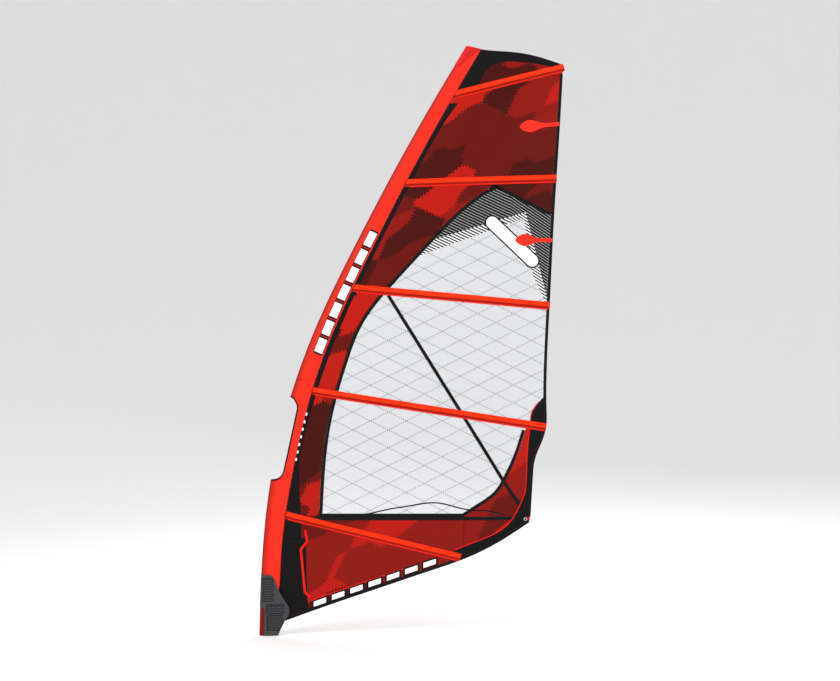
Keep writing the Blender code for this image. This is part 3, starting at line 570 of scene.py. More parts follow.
# Sleeve foot: its darker red is partly the foot's own cloth, partly painted shade of the sleeve's lower end.
footClothAndShade = wovenMaterial("sleeveFootClothAndShade", linear(120, 12, 12), 0.55)
headCloth = wovenMaterial("headPatchCloth", linear(199, 24, 29), 0.5)
patchCloth = wovenMaterial("miniPocketCloth", linear(247, 44, 29), 0.45, 0.05)
blackCloth = wovenMaterial("blackCloth", linear(9, 9, 10), 0.62, 0.2)
borderCloth = wovenMaterial("borderCloth", linear(240, 18, 12), 0.45, 0.04)
whitePrint = wovenMaterial("whitePrint", linear(250, 250, 250), 0.4, 0.01)
camoCloth = camoMaterial("printedCamo", (0.37, 0.12))
filmCloth = filmMaterial()
pocketCloth = pocketMaterial("pocketCloth")
tapeCloth = stitchedMaterial("tapeCloth", linear(8, 8, 9), linear(60, 60, 62), 0.0105)
nylon = mouldedMaterial("mouldedNylon", linear(38, 38, 40), 0.45)
acetal = mouldedMaterial("sheaveAcetal", linear(222, 222, 216), 0.35)
foam = fairingMaterial("mouldedFoam")
studFoam = mouldedMaterial("studFoam", linear(92, 93, 96), 0.6, 1400.0)
steel = brushedMaterial("brushedSteel", linear(200, 200, 202), 0.28)
carbon = fibreMaterial("battenFibre", linear(40, 40, 42), 0.4)
glassFibre = fibreMaterial("miniBattenFibre", linear(190, 190, 180), 0.45)
print("materials made")


sleeve = {"rear": 0.0022, "depthFoot": 0.024, "depthHead": 0.014, "wall": 0.0011, "columns": 36,
          "peak": 0.385,  # highest value of a (1 - a a)
          "notch": [(-0.06, 1.667), (0.193, 1.667), (0.213, 1.652), (0.2254, 1.632),
                    (0.2345, 1.612), (0.238, 1.589), (0.1421, 1.1515), (0.134, 1.128),
                    (0.1127, 1.1025), (0.088, 1.091), (0.061, 1.0878), (-0.06, 1.0878)],
          "binding": 0.009}


# Half fullness: rear a + full a (1 - a a) / peak, a squared being the share from nose to seam.
def sleeveDepth(a, z):
    full = sleeve["depthFoot"] + (sleeve["depthHead"] - sleeve["depthFoot"]) * np.clip(z / 4.1, 0, 1)
    return sleeve["rear"] * np.abs(a) + full * np.abs(a) * (1 - a * a) / sleeve["peak"]


def sleevePoint(a, z, out):  # on the sleeve, pushed outwards by out
    x = luffX(z) + a * a * sleeveWide(z)
    y = middleY(x, z) + np.sign(a) * (sleeveDepth(a, z) + out * np.minimum(1, 2.2 * np.abs(a)))
    return np.stack([x - out * (1 - np.abs(a)) ** 1.5, y, z], -1)


def insidePolygon(x, z, corners):  # odd number of edges crossed to the right
    inside = np.zeros(x.shape, bool)
    for (x0, z0), (x1, z1) in zip(corners, corners[1:] + corners[:1]):
        if z0 == z1:
            continue
        crosses = (z0 > z) != (z1 > z)
        inside ^= crosses & (x < x0 + (z - z0) * (x1 - x0) / (z1 - z0))
    return inside


# Tube of cloth: outer and inner skin on one grid of a and height, cells inside the notch left out.
def sleevePiece(name, low, high, rowStep, columns, material, top=0.0, notch=None):
    rows = int((high - low) / rowStep) + 1
    a = np.linspace(-1, 1, 2 * columns + 1)
    v = np.linspace(0, 1, rows + 1)[:, None]
    z = low + (high - low) * v + top * a**2 * v
    grid = a + 0 * z
    outer = sleevePoint(grid, z, 0.0)
    inner = sleevePoint(grid * 0.985, z, -sleeve["wall"])
    inner[:, 0, 1] = middleY(inner[:, 0, 0], z[:, 0]) - 0.0003
    inner[:, -1, 1] = middleY(inner[:, -1, 0], z[:, -1]) + 0.0003
    n, m = grid.shape
    keep = np.ones((n - 1, m - 1), bool)
    if notch:
        cx = (outer[1:, 1:, 0] + outer[:-1, :-1, 0]) / 2
        cz = (z[1:, 1:] + z[:-1, :-1]) / 2
        keep = ~insidePolygon(cx, cz, notch)
    return skinPair(name, outer, inner, keep, material, np.stack([grid**2, z], -1))


# Two skins joined along every open edge of the kept cells, so the cloth is one closed body.
def skinPair(name, outer, inner, keep, material, uv):
    n, m = outer.shape[:2]
    index = np.arange(n * m).reshape(n, m)
    cell = np.stack([index[:-1, :-1], index[:-1, 1:], index[1:, 1:], index[1:, :-1]], -1)[keep]
    edges = np.concatenate([cell[:, [k, (k + 1) % 4]] for k in range(4)])
    key = np.sort(edges, 1)
    _, where, counts = np.unique(key[:, 0] * n * m + key[:, 1], return_inverse=True, return_counts=True)
    rim = edges[counts[where.ravel()] == 1]
    shift = n * m
    strip = np.stack([rim[:, 1], rim[:, 0], rim[:, 0] + shift, rim[:, 1] + shift], -1)
    faces = np.vstack([cell, cell[:, ::-1] + shift, strip])
    points = np.vstack([outer.reshape(-1, 3), inner.reshape(-1, 3)])
    used = np.unique(faces)
    renumber = np.zeros(len(points), int)
    renumber[used] = np.arange(len(used))
    uv = np.vstack([uv.reshape(-1, 2)] * 2)[used]
    faces, points = renumber[faces], points[used]
    return addPiece(name, points, outward(points, faces), material, uv=uv)


def makeSleeve():
    wide = sleeve["columns"]
    foot = sleevePiece("sleeveFootCover", 0.0, 0.20, 0.02, wide, footClothAndShade)
    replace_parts(foot, "sleeve_foot")
    lower = sleevePiece("sleeveLower", 0.20, 0.98, 0.02, wide, sleeveCloth)
    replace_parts(lower, "sleeve_lower")
    notch = [(x + 0.002 * (0.06 < x), z) for x, z in sleeve["notch"]]
    boom = sleevePiece("sleeveBoomSection", 0.98, 1.78, 0.006, 60, sleeveCloth, notch=notch)
    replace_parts(boom, "sleeve_boom_section")
    upper = sleevePiece("sleeveUpper", 1.78, 4.124, 0.025, wide, sleeveCloth, top=-0.024)
    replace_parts(upper, "sleeve_upper")


# Binding folded over the cut edge of the sleeve, along the notch on both sides and over the nose.
def makeBinding():
    path = resample(sleeve["notch"][1:-1], 0.006)
    path = np.vstack([[float(luffX(1.667)), 1.667], path, [float(luffX(1.0878)), 1.0878]])
    path = path[(path[:, 0] >= luffX(path[:, 1]) - 1e-6)]
    away = -leftOf(path)
    if away[len(path) // 2, 0] < 0:
        away = -away
    away[0], away[-1] = (0, 1), (0, -1)
    loops = []
    for sign in (-1, 1):
        side = path if sign < 0 else path[::-1]
        push = away if sign < 0 else away[::-1]
        loops.append((side, push, np.full(len(side), float(sign))))
    edge = np.vstack([loops[0][0], loops[1][0][1:-1]])
    push = np.vstack([loops[0][1], loops[1][1][1:-1]])
    sign = np.concatenate([loops[0][2], loops[1][2][1:-1]])
    section = [(-0.0008, 0.0012), (0.0045, 0.0016), (sleeve["binding"], 0.0010),
               (sleeve["binding"], 0.0002), (-0.0002, 0.0003), (-0.0006, -0.0018),
               (0.006, -0.0016), (0.006, -0.0026), (-0.0016, -0.0026), (-0.0018, -0.0005)]
    rings = []
    for across, out in section:
        p = edge + push * across
        s = np.clip((p[:, 0] - luffX(p[:, 1])) / sleeveWide(p[:, 1]), 0, 1)
        rings.append(sleevePoint(sign * np.sqrt(s), p[:, 1], np.full(len(p), out)))
    points = np.stack(rings, 1)
    points = np.concatenate([points, points[:1]])
    n, m = points.shape[:2]
    faces = gridFaces(n, m, closed=True) % ((n - 1) * m)
    points = points[:-1].reshape(-1, 3)
    piece = addPiece("boomCutoutBinding", points, outward(points, faces), blackCloth)
    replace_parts(piece, "boom_cutout_binding")


# Wrap lying on the sleeve between two heights and two values of a on each row.
def sleeveWrap(name, low, high, span, out, thick, material, rows=20, columns=30, lean=0.0):
    v = np.linspace(0, 1, rows + 1)[:, None]
    u = np.linspace(-1, 1, columns + 1)[None, :]
    a = u * (span[0] + (span[1] - span[0]) * v)
    z = low + (high - low) * v + lean * a**2
    skins = [sleevePoint(a, z + 0 * a, o) for o in (out, out + thick)]
    return shellPiece(name, skins[0], skins[1], material)


def makeHead():
    piece = sleeveWrap("headPatch", 3.985, 4.1235, (0.60, 0.985), 0.0005, 0.0010, headCloth, lean=-0.024)
    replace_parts(piece, "head_patch")


makeSleeve()
makeBinding()
makeHead()
print("sleeve made")


def frontOf(edge, room):
    return lambda z: edge(z) + room


def windowFrontEdge(z):
    return np.where(np.asarray(z) < sail["windowApex"][1], windowFront(z), sail["windowApex"][0])


def windowTop(z):
    (x0, z0), (x1, z1) = sail["windowTopRear"], sail["windowApex"]
    return x0 + (x1 - x0) * (np.minimum(z, z1) - z0) / (z1 - z0)


def windowLeech(z):
    return np.minimum(leechX(z) - 0.003, windowTop(z))


def sizeOf(grid):
    return np.ptp(grid.reshape(-1, 2), axis=0)


def declareSheet(piece, node):
    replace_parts(piece, node)


panel = {"half": 0.0005, "rowStep": 0.035, "columnStep": 0.035}


def makePanels():
    edge = frontOf(leechX, -0.003)
    luff = frontOf(seamX, 0.0003)
    strapRow = lambda x: np.maximum(sail["strapHeight"], battenZ(5)(x))
    footRow = lambda x: footZ(x) + 0.003
    b1, b2, b3, b4, b5 = (battenZ(k) for k in (1, 2, 3, 4, 5))
    plans = [
        ("headPanel", "head_panel", b1, headEdge, luff, edge, camoCloth, (0, 1)),
        ("upperPanel", "upper_panel", b2, b1, luff, edge, camoCloth, (0, 1)),
        ("luffPanelUpper", "luff_panel_upper", b3, b2, luff, windowFrontEdge, camoCloth, (0, 1)),
        ("windowUpper", "window_upper", b3, b2, windowFrontEdge, windowLeech, filmCloth, (0, 0.945)),
        ("leechCornerPanel", "leech_corner_panel", b3, b2, windowTop, edge, camoCloth, (0.71, 1)),
        ("luffPanelMiddle", "luff_panel_middle", b4, b3, luff, windowFront, camoCloth, (0, 1)),
        ("windowMiddle", "window_middle", b4, b3, windowFront, edge, filmCloth, (0, 1)),
        ("luffPanelLower", "luff_panel_lower", strapRow, b4, luff, windowFront, camoCloth, (0, 1)),
        ("windowLower", "window_lower", strapRow, b4, windowFront, windowRear, filmCloth, (0, 1)),
        ("footPanel", "foot_panel", b5, level(sail["strapHeight"]), level(0.24), level(1.405),
         camoCloth, (0, 1)),
        ("tackPanel", "tack_panel", footRow, b5, luff, level(1.385), camoCloth, (0, 1)),
    ]
    for name, node, lower, upper, front, rear, material, span in plans:
        coarse = bandGrid(lower, upper, front, rear, 4, 4, span)
        size = sizeOf(coarse)
        rows = max(4, int(size[1] / panel["rowStep"]))
        columns = max(6, int(size[0] / panel["columnStep"]))
        grid = bandGrid(lower, upper, front, rear, rows, columns, span)
        piece = clothPiece(name, grid, -panel["half"], panel["half"], material)
        declareSheet(piece, node)


def makeClewPanel():
    z = np.linspace(1.472, 0.83, 30)
    front = np.vstack([np.stack([windowRear(z), z], -1), [(1.405, 0.826), (1.405, 0.70), (1.405, 0.545)]])
    zz = np.linspace(1.462, 0.80, 24)
    xx = np.linspace(1.858, 1.42, 14)
    rear = np.vstack([np.stack([leechX(zz) - 0.004, zz], -1), np.stack([xx, footEdge(xx) + 0.004], -1)])
    first, second = evenly(front, 60), evenly(rear, 60)
    grid = railGrid(first, second, 16)
    piece = clothPiece("clewPanel", grid, -panel["half"], panel["half"], camoCloth)
    declareSheet(piece, "clew_panel")


def evenly(path, count):
    path = np.asarray(path, float)
    run = runLength(path)
    at = np.linspace(0, run[-1], count)
    return np.stack([np.interp(at, run, path[:, k]) for k in (0, 1)], -1)


makePanels()
makeClewPanel()
print("panels made")


one = sail["clothHalf"] + 0.0004
tape = {"thick": 0.0008, "leech": 0.021, "foot": 0.021, "frame": 0.0115, "strap": 0.0120}
port1 = (-one, -one - tape["thick"])
star1 = (one, one + tape["thick"])


# Tape folded round an edge: a U section carried along the edge.
def foldedPiece(name, path, width, material):
    left = leftOf(path)
    inner, outer = one, one + tape["thick"]
    section = np.array([(0.0, -outer + 0.0004), (0.0006, -outer), (width, -outer), (width, -inner),
                        (0.001, -inner), (0.001, inner), (width, inner), (width, outer),
                        (0.0006, outer), (0.0, outer - 0.0004)])
    p = path[:, None] + left[:, None] * section[None, :, :1]
    y = middleY(p[..., 0], p[..., 1]) + section[None, :, 1]
    points = np.stack([p[..., 0], y, p[..., 1]], -1)
    n, m = points.shape[:2]
    faces = gridFaces(n, m, closed=True)
    caps = [list(range(m))[::-1], list(range((n - 1) * m, n * m))]
    flat = points.reshape(-1, 3)
    flip = volumeOf(flat, faces) < 0
    faces = [list(f[::-1]) if flip else list(f) for f in faces]
    caps = [c[::-1] for c in caps] if flip else caps
    uv = np.stack(np.broadcast_arrays(runLength(path)[:, None], section[None, :, 0] - width / 2), -1)
    return addPiece(name, flat, faces + caps, material, uv=uv.reshape(-1, 2), smooth=False)


def makeTapes():
    z = np.linspace(3.72, 0.665, 150)
    width = spline([(0.67, 0.128), (0.80, 0.115), (0.95, 0.083), (1.09, 0.052), (1.22, 0.031),
                    (1.50, 0.030), (2.50, 0.034), (3.30, 0.035), (3.60, 0.043), (3.72, 0.060)])
    grid = railGrid(np.stack([seamX(z) + 0.0003, z], -1), np.stack([seamX(z) + width(z), z], -1), 4)
    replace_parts(clothPiece("luffTape", grid, *port1, blackCloth), "luff_tape")
    clothPiece("luffTapeStarboard", grid, *star1, blackCloth)
    lower = lambda x: footZ(x) + 0.024
    rear = lambda z: 0.297 + 0.06 * np.maximum(0, 0.68 - z) ** 2
    grid = bandGrid(lower, level(0.680), frontOf(seamX, 0.0003), rear, 24, 8)
    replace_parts(clothPiece("tackPatch", grid, *port1, blackCloth), "tack_patch")
    clothPiece("tackPatchStarboard", grid, *star1, blackCloth)
    z = np.linspace(0.828, 3.925, 170)
    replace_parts(foldedPiece("leechTape", np.stack([leechX(z), z], -1), tape["leech"], tapeCloth),
                "leech_tape")
    x = np.linspace(0.155, 1.862, 100)
    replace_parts(foldedPiece("footTape", np.stack([x, footEdge(x)], -1), tape["foot"], tapeCloth),
                "foot_tape")
    path = [(2.006, 2.946), (1.630, 3.132)]
    z = np.linspace(3.09, 0.88, 60)
    path += list(zip(windowFront(z) + 0.012, z))
    path += [(0.4005, 0.8400), (1.395, 0.8400)]
    z = np.linspace(0.90, 1.435, 24)
    path += list(zip(windowRear(z) - 0.013, z))
    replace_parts(ribbonPiece("windowFrameTape", path, tape["frame"], *port1, tapeCloth), "window_frame_tape")
    near, far = star1[0] + 0.0002, star1[1] + 0.0002
    ribbonPiece("windowFrameStarboard", path, tape["frame"], near, far, tapeCloth)
    apex = [(1.585, 3.118), (1.606, 3.143), (1.616, 3.147), (1.626, 3.143), (1.668, 3.112)]
    ribbonPiece("windowApexTape", apex, 0.008, port1[0] - 0.0010, port1[1] - 0.0002, blackCloth)
    ribbonPiece("windowApexStarboard", apex, 0.008, star1[0] + 0.0010, star1[1] + 0.0002, blackCloth)
    upper = [(0.873, 2.378), (1.4595, 1.435), (1.589, 1.225), (1.6835, 1.071), (1.80, 0.90)]
    lower = [(0.262, 0.8168), (1.792, 0.8168)]
    near, far = port1[0] - 0.0003, port1[1] - 0.0003
    for name, node, path in (("clewStrapUpper", "clew_strap_upper", upper),
                             ("clewStrapLower", "clew_strap_lower", lower)):
        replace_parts(ribbonPiece(name, path, tape["strap"], *star1, tapeCloth), node)
        ribbonPiece(name + "Port", path, tape["strap"], near, far, tapeCloth)


# Black reinforcement along the head and the sleeve, printed panel left bare inside it.
def makeHeadBand():
    b1 = battenZ(1)
    zz = np.linspace(float(b1(1.452)) + 0.004, 4.095, 24)
    xx = np.linspace(1.515, 2.088, 30)
    outer = np.vstack([np.stack([seamX(zz) + 0.0006, zz], -1), np.stack([xx, headEdge(xx) - 0.001], -1)])
    inner = [(1.503, 3.834), (1.512, 3.868), (1.546, 3.935), (1.562, 3.955), (1.590, 3.982),
             (1.631, 4.004), (1.690, 4.013), (1.749, 4.014), (1.896, 3.999), (2.004, 3.980),
             (2.086, 3.972)]
    grid = railGrid(evenly(outer, 80), evenly(inner, 80), 8)
    clothPiece("headBand", grid, *port1, blackCloth)
    clothPiece("headBandStarboard", grid, *star1, blackCloth)


clew = {"x": 1.8326, "z": 0.8127, "hole": 0.0070, "flange": 0.0122}


def makeClew():
    inner = [(1.958, 1.664), (1.930, 1.632), (1.902, 1.597), (1.882, 1.566), (1.873, 1.535),
             (1.870, 1.498), (1.868, 1.445), (1.857, 1.365), (1.849, 1.262), (1.845, 1.151),
             (1.841, 1.060), (1.837, 1.008), (1.8235, 0.966), (1.805, 0.925), (1.785, 0.879),
             (1.749, 0.815), (1.710, 0.768), (1.655, 0.726), (1.595, 0.694), (1.530, 0.668),
             (1.4665, 0.644), (1.335, 0.592)]
    z = np.linspace(1.655, 0.86, 22)
    x = np.linspace(1.835, 1.345, 16)
    outer = np.vstack([np.stack([leechX(z) - 0.021, z], -1), [(1.8455, 0.8060)],
                       np.stack([x[1:], footEdge(x[1:]) + 0.024], -1)])
    first, second = evenly(inner, 90), evenly(outer, 90)
    grid = railGrid(first, second, 10)
    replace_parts(clothPiece("clewPatch", grid, *port1, blackCloth), "clew_patch")
    clothPiece("clewPatchStarboard", grid, star1[0] + 0.0004, star1[1] + 0.0004, blackCloth)
    path = evenly(inner[1:], 80) + leftOf(evenly(inner[1:], 80)) * -0.004
    ribbonPiece("clewPiping", path, 0.0028, port1[1] + 0.0002, port1[1] - 0.0009, borderCloth)
    y = float(middleY(clew["x"], clew["z"]))
    near, far = -port1[1] + 0.0008, one + 0.0014
    r, f = clew["hole"], clew["flange"]
    bead = [(-near - 0.0011, f - 0.001), (-near - 0.0016, (r + f) / 2), (-near - 0.0011, r + 0.0004),
            (-near, r), (far, r), (far + 0.0011, r + 0.0004), (far + 0.0016, (r + f) / 2),
            (far + 0.0011, f - 0.001), (far + 0.0004, f), (far, f - 0.0004), (far, r + 0.0018),
            (-near, r + 0.0018), (-near, f - 0.0004), (-near - 0.0004, f)]
    ring = turnedPiece("clewEyelet", (clew["x"], y, clew["z"]), (0, 1, 0), (0, 0, 1), bead, 64, steel)
    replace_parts(ring, "clew_ring")


makeTapes()
makeHeadBand()
makeClew()
print("tapes made")


pocket = {"half": 0.025, "base": 0.0021, "thick": 0.0010, "tunnel": 0.0080, "step": 0.02,
          "tunnelHalf": 0.0135, "shadow": 0.0283, "shadowHalf": 0.0030}


def battenLine(number):
    row = battenZ(number)
    x = np.array([end[0] for end in sail["battens"][number - 1]])
    for _ in range(30):
        x = np.array([seamX(row(x[0])), leechX(row(x[1]))])
    x[0] += 0.003
    x[1] = 1.380 if number == 5 else x[1] + (0.006 if number == 1 else 0.001)
    start, end = np.array([x[0], row(x[0])]), np.array([x[1], row(x[1])])
    along = (end - start) / np.linalg.norm(end - start)
    return start, along, np.array([-along[1], along[0]]), np.linalg.norm(end - start)


# Pocket skin: flat flanges and a raised tunnel, its hump being 1 - (across / tunnelHalf)^2.6 above zero.
def makePocket(number):
    start, along, side, length = battenLine(number)
    slope = float(seamX(start[1] + 0.02) - seamX(start[1] - 0.02)) / 0.04
    skew = (slope * side[1] - side[0]) / (along[0] - slope * along[1])
    across = np.array([-1, -0.96, -0.85, -0.70, -0.58, -0.50, -0.44, -0.37, -0.27, -0.14, 0,
                       0.14, 0.27, 0.37, 0.44, 0.50, 0.58, 0.70, 0.85, 0.96, 1]) * pocket["half"]
    hump = np.clip(1 - (np.abs(across) / pocket["tunnelHalf"]) ** 2.6, 0, 1)
    height = pocket["base"] + pocket["thick"] + (pocket["tunnel"] + pocket["thick"] * 0.8) * hump
    d = np.linspace(0, length, int(length / pocket["step"]) + 2)
    lean = skew * np.maximum(0, 1 - d / 0.30)
    run = d[:, None] + across[None, :] * lean[:, None]
    p = start + along * run[..., None] + side * across[None, :, None]
    y = middleY(p[..., 0], p[..., 1])
    height = height[None, :] + 0 * d[:, None]
    outer = np.stack([p[..., 0], y - height, p[..., 1]], -1)
    back = np.maximum(pocket["base"], height - pocket["thick"])
    inner = np.stack([p[..., 0], y - back, p[..., 1]], -1)
    uv = np.stack(np.broadcast_arrays(d[:, None], across[None, :]), -1)
    piece = shellPiece(f"battenPocket{number}", outer, inner, pocketCloth, uv=uv)
    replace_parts(piece, f"batten_pocket_{number}")
    path = np.stack([start + along * t - side * pocket["shadow"] for t in (0.02, length - 0.01)])
    near, far = port1[1] - 0.0002, port1[1] - 0.0008
    ribbonPiece(f"pocketShadowLine{number}", path, pocket["shadowHalf"], near, far, borderCloth)


miniPatch = {"ends": [((1.793, 3.5546), (2.0700, 3.5770)), ((1.761, 2.7636), (2.0200, 2.7636))],
             "shape": [(0, 0.004), (0.05, 0.019), (0.14, 0.034), (0.26, 0.043), (0.42, 0.031),
                       (0.60, 0.016), (0.80, 0.0135), (1.0, 0.0135)]}


def makeMiniPockets():
    width = spline(miniPatch["shape"])
    for number, (tip, end) in enumerate(miniPatch["ends"], 1):
        tip, end = np.array(tip), np.array(end)
        length = np.linalg.norm(end - tip)
        along = (end - tip) / length
        side = np.array([-along[1], along[0]])
        t = np.linspace(0, 1, 60)
        u = np.linspace(-1, 1, 25)
        across = u[None, :] * width(t)[:, None]
        p = tip + along * (t * length)[:, None, None] + side * across[..., None]
        y = middleY(p[..., 0], p[..., 1])
        hump = np.clip(1 - (np.abs(across) / 0.007) ** 2.2, 0, 1)
        height = pocket["base"] + 0.0008 + 0.0026 * hump
        outer = np.stack([p[..., 0], y - height, p[..., 1]], -1)
        inner = np.stack([p[..., 0], y - pocket["base"] + 0 * height, p[..., 1]], -1)
        piece = shellPiece(f"miniPocket{number}", outer, inner, patchCloth)
        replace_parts(piece, f"mini_pocket_{number}")


for number in (1, 2, 3, 4, 5):
    makePocket(number)
makeMiniPockets()
print("pockets made")


def parallelogram(name, center, along, long, high, lean, near, far, material):
    along = np.array(along, float) / np.linalg.norm(along)
    up = np.array([-along[1], along[0]])
    u = np.linspace(-0.5, 0.5, 9)[:, None, None]
    v = np.linspace(-0.5, 0.5, 7)[None, :, None]
    grid = np.array(center) + along * (u * long + v * high * lean) + up * v * high
    clothPiece(name, grid, near, far, material)


bars = {"count": 7, "footStart": 0.395, "footStep": 0.128, "lean": 0.35, "ground": (0.118, 0.056),
        "bar": (0.092, 0.034), "sleeveStart": 2.01, "sleeveStep": 0.124, "sleeveHigh": 0.096,
        "film": 0.0003}


# Plain slanted bars in a row, white on a black ground.
def makeFootBars():
    for k in range(bars["count"]):
        x = bars["footStart"] + bars["footStep"] * k
        z = float(footEdge(x)) + 0.044 + 0.0016 * k
        slope = float(footEdge(x + 0.05) - footEdge(x - 0.05)) / 0.1
        near = port1[1] - 0.0002
        middle = near - bars["film"]
        parallelogram(f"footBarGround{k + 1}", (x, z), (1, slope), *bars["ground"], bars["lean"],
                      near, middle, blackCloth)
        parallelogram(f"footBar{k + 1}", (x, z), (1, slope), *bars["bar"], bars["lean"],
                      middle, near - 2 * bars["film"], whitePrint)


def makeSleeveBars():
    looks = (("Ground", 0.012, 0.0004, blackCloth), ("", 0.0, 0.0008, whitePrint))
    for k in range(bars["count"]):
        z0 = bars["sleeveStart"] + bars["sleeveStep"] * k
        for part, grow, out, material in looks:
            v = np.linspace(0, 1, 9)[:, None]
            u = np.linspace(0, 1, 9)[None, :]
            s = 0.42 - grow * 3 + (0.46 + grow * 6) * u
            z = z0 - grow + (bars["sleeveHigh"] + 2 * grow) * v - 0.05 * s
            a = -np.sqrt(s + 0 * z)
            skins = [sleevePoint(a, z, o) for o in (out, out + 0.0004)]
            shellPiece(f"sleeveBar{part}{k + 1}", skins[0], skins[1], material)


def makeDots():
    for k in range(7):
        z = 1.546 - 0.0528 * k
        x = float(seamX(z)) + 0.0065
        parallelogram(f"measureDot{k + 1}", (x, z), (0.2, 1), 0.020, 0.011, 0.0,
                      port1[1] - 0.0002, port1[1] - 0.0006, whitePrint)


# Plain round-ended band across the hatch: a straight ribbon whose half width falls to nothing at each end.
def makeWindowBand():
    for name, grow, lift, material in (("windowBandGround", 0.010, 0.0001, blackCloth),
                                       ("windowBand", 0.0, 0.0005, whitePrint)):
        start, end = np.array([1.600, 2.885]), np.array([1.880, 2.620])
        run = end - start
        length = np.linalg.norm(run)
        along = run / length
        side = np.array([-along[1], along[0]])
        half = 0.042 + grow
        t = (1 - np.cos(np.linspace(0, pi, 50))) / 2 * (length + 2 * half) - half
        past = np.maximum(np.maximum(-t, t - length), 0)
        wide = np.sqrt(np.maximum(half**2 - past**2, 1e-7))
        u = np.linspace(-1, 1, 9)
        grid = start + along * t[:, None, None] + side * (wide[:, None] * u)[..., None]
        clothPiece(name, grid, -one - lift, -one - lift - 0.0003, material)


def makeLines():
    x = np.linspace(0.335, 1.09, 40)
    path = np.stack([x, footEdge(x) + 0.077], -1)
    ribbonPiece("footLine", path, 0.0042, -one, -one - 0.0004, borderCloth)
    border = [(0.292, 0.735), (0.306, 0.655), (0.262, 0.600), (0.290, 0.300), (0.330, 0.262)]
    ribbonPiece("tackBorder", border, 0.008, port1[1] - 0.0002, port1[1] - 0.0006, borderCloth)
    z = np.linspace(0, 1, 60)
    x = 0.70 + 0.98 * z
    wave = 0.846 + 0.075 * np.sin(pi * np.clip(z * 1.05, 0, 1)) ** 1.3 + 0.014 * np.sin(5 * pi * z) * z
    ribbonPiece("windowTrimLine", np.stack([x, wave], -1), 0.0045, -one, -one - 0.0004, blackCloth)


makeFootBars()
makeSleeveBars()
makeDots()
makeWindowBand()
makeLines()
print("printed trim made")


def fairingInner(x, z):
    s = np.clip((x - luffX(z)) / sleeveWide(z), 0, 1)
    near = sleeveDepth(np.sqrt(s), z) + 0.0046
    nose = luffX(z) + 0.040
    fat = fairing["fat"] + (fairing["lean"] - fairing["fat"]) * np.clip((x - nose) / 0.115, 0, 1)
    return np.where(x < nose, np.minimum(near, fairing["fat"]), np.maximum(fat, near))


def inPad(x, z):  # 1 well inside a tread pad, 0 outside, with a soft edge
    depth = np.zeros_like(x)
    for (x0, z0), (x1, z1) in fairing["pads"]:
        dx = np.minimum(x - x0, x1 - x)
        dz = np.minimum(z - z0, z1 - z)
        depth = np.maximum(depth, np.clip(np.minimum(dx, dz) / 0.004, 0, 1))
    return depth


def makeFairing(name, side, node, body):
    z = np.unique(np.concatenate([np.linspace(0, 0.186, 50), np.linspace(0.186, 0.203, 8),
                                  np.linspace(0.203, 0.424, 56)]))[:, None]
    step = 0.0035 + (0.035 - 0.0035) * np.clip((0.200 - z) / 0.014, 0, 1)
    x0 = luffX(z) + step
    x1 = spline(fairing["rear"])(z)
    mix = np.linspace(0, 1, 56)[None, :]
    x = x0 + (x1 - x0) * mix
    zz = z + 0 * x
    inner = fairingInner(x, zz)
    lip = np.clip(np.minimum(mix, 1 - mix) / 0.06, 0, 1) ** 0.5
    thick = fairing["edge"] + (fairing["thick"] - fairing["edge"]) * lip
    thick = thick + fairing["padRise"] * inPad(x, zz)
    skins = [np.stack([x, middleY(x, zz) + side * o, zz], -1) for o in (inner, inner + thick)]
    piece = shellPiece(name, skins[0], skins[1], foam, body)
    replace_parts(piece, node)
    makeStuds(name + "Studs", side, body)


# Low domes on the tread pads: one small cap repeated at every grid place inside a pad.
def makeStuds(name, side, body):
    pitch, radius = fairing["studPitch"], fairing["stud"]
    places = []
    for (x0, z0), (x1, z1) in fairing["pads"]:
        xs = np.arange(x0 + 0.008, x1 - 0.005, pitch)
        zs = np.arange(z0 + 0.008, z1 - 0.005, pitch)
        gx, gz = np.meshgrid(xs, zs)
        gx = gx + (np.arange(len(zs)) % 2)[:, None] * pitch / 2
        places.append(np.stack([gx.ravel(), gz.ravel()], -1))
    places = np.vstack(places)
    ok = places[:, 0] < spline(fairing["rear"])(places[:, 1]) - 0.010
    ok &= places[:, 0] > luffX(places[:, 1]) + 0.014
    places = places[ok]
    rings = np.array([(1.0, -0.0010), (0.96, 0.0008), (0.70, 0.0019), (0.30, 0.0024)])
    t = np.linspace(0, 2 * pi, 10, endpoint=False)
    local = np.stack([(rings[:, :1] * np.cos(t)), (rings[:, :1] * np.sin(t)), rings[:, 1:] + 0 * t], -1)
    local = local.reshape(-1, 3) * [radius, radius, 1]
    x = places[:, :1] + local[None, :, 0]
    z = places[:, 1:] + local[None, :, 1]
    base = fairingInner(x, z) + fairing["thick"] + fairing["padRise"] * inPad(x, z)
    y = middleY(x, z) + side * (base + local[None, :, 2])
    points = np.stack([x, y, z], -1)
    shift = np.arange(len(places))[:, None, None] * len(local)
    quads = (gridFaces(len(rings), len(t), closed=True) + shift).reshape(-1, 4)
    lower = np.arange(len(t))
    caps = (np.stack([len(local) - 1 - lower, lower]) + shift).reshape(-1, len(t))
    faces = quads[:, ::-side].tolist() + caps[:, ::-side].tolist()
    studs = addPiece(name, points.reshape(-1, 3), faces, studFoam, body)


# Soft web from the luff line out to a shell's front edge, straight at each height; it rides with its shell.
def makeHingeWeb(name, side, body):
    z = np.linspace(0.2035, 0.420, 30)[:, None]
    u = np.linspace(0, 1, 10)[None, :]
    x = luffX(z) + 0.0002 + 0.0034 * u
    zz = z + 0 * u
    edge = fairingInner(luffX(z) + 0.0036, z) + 0.001
    y = middleY(x, zz) + side * (0.0015 + (edge - 0.0015) * u)
    skins = [np.stack([x + thick, y, zz], -1) for thick in (0.0, -0.0014)]
    shellPiece(name, skins[0], skins[1], blackCloth, body)


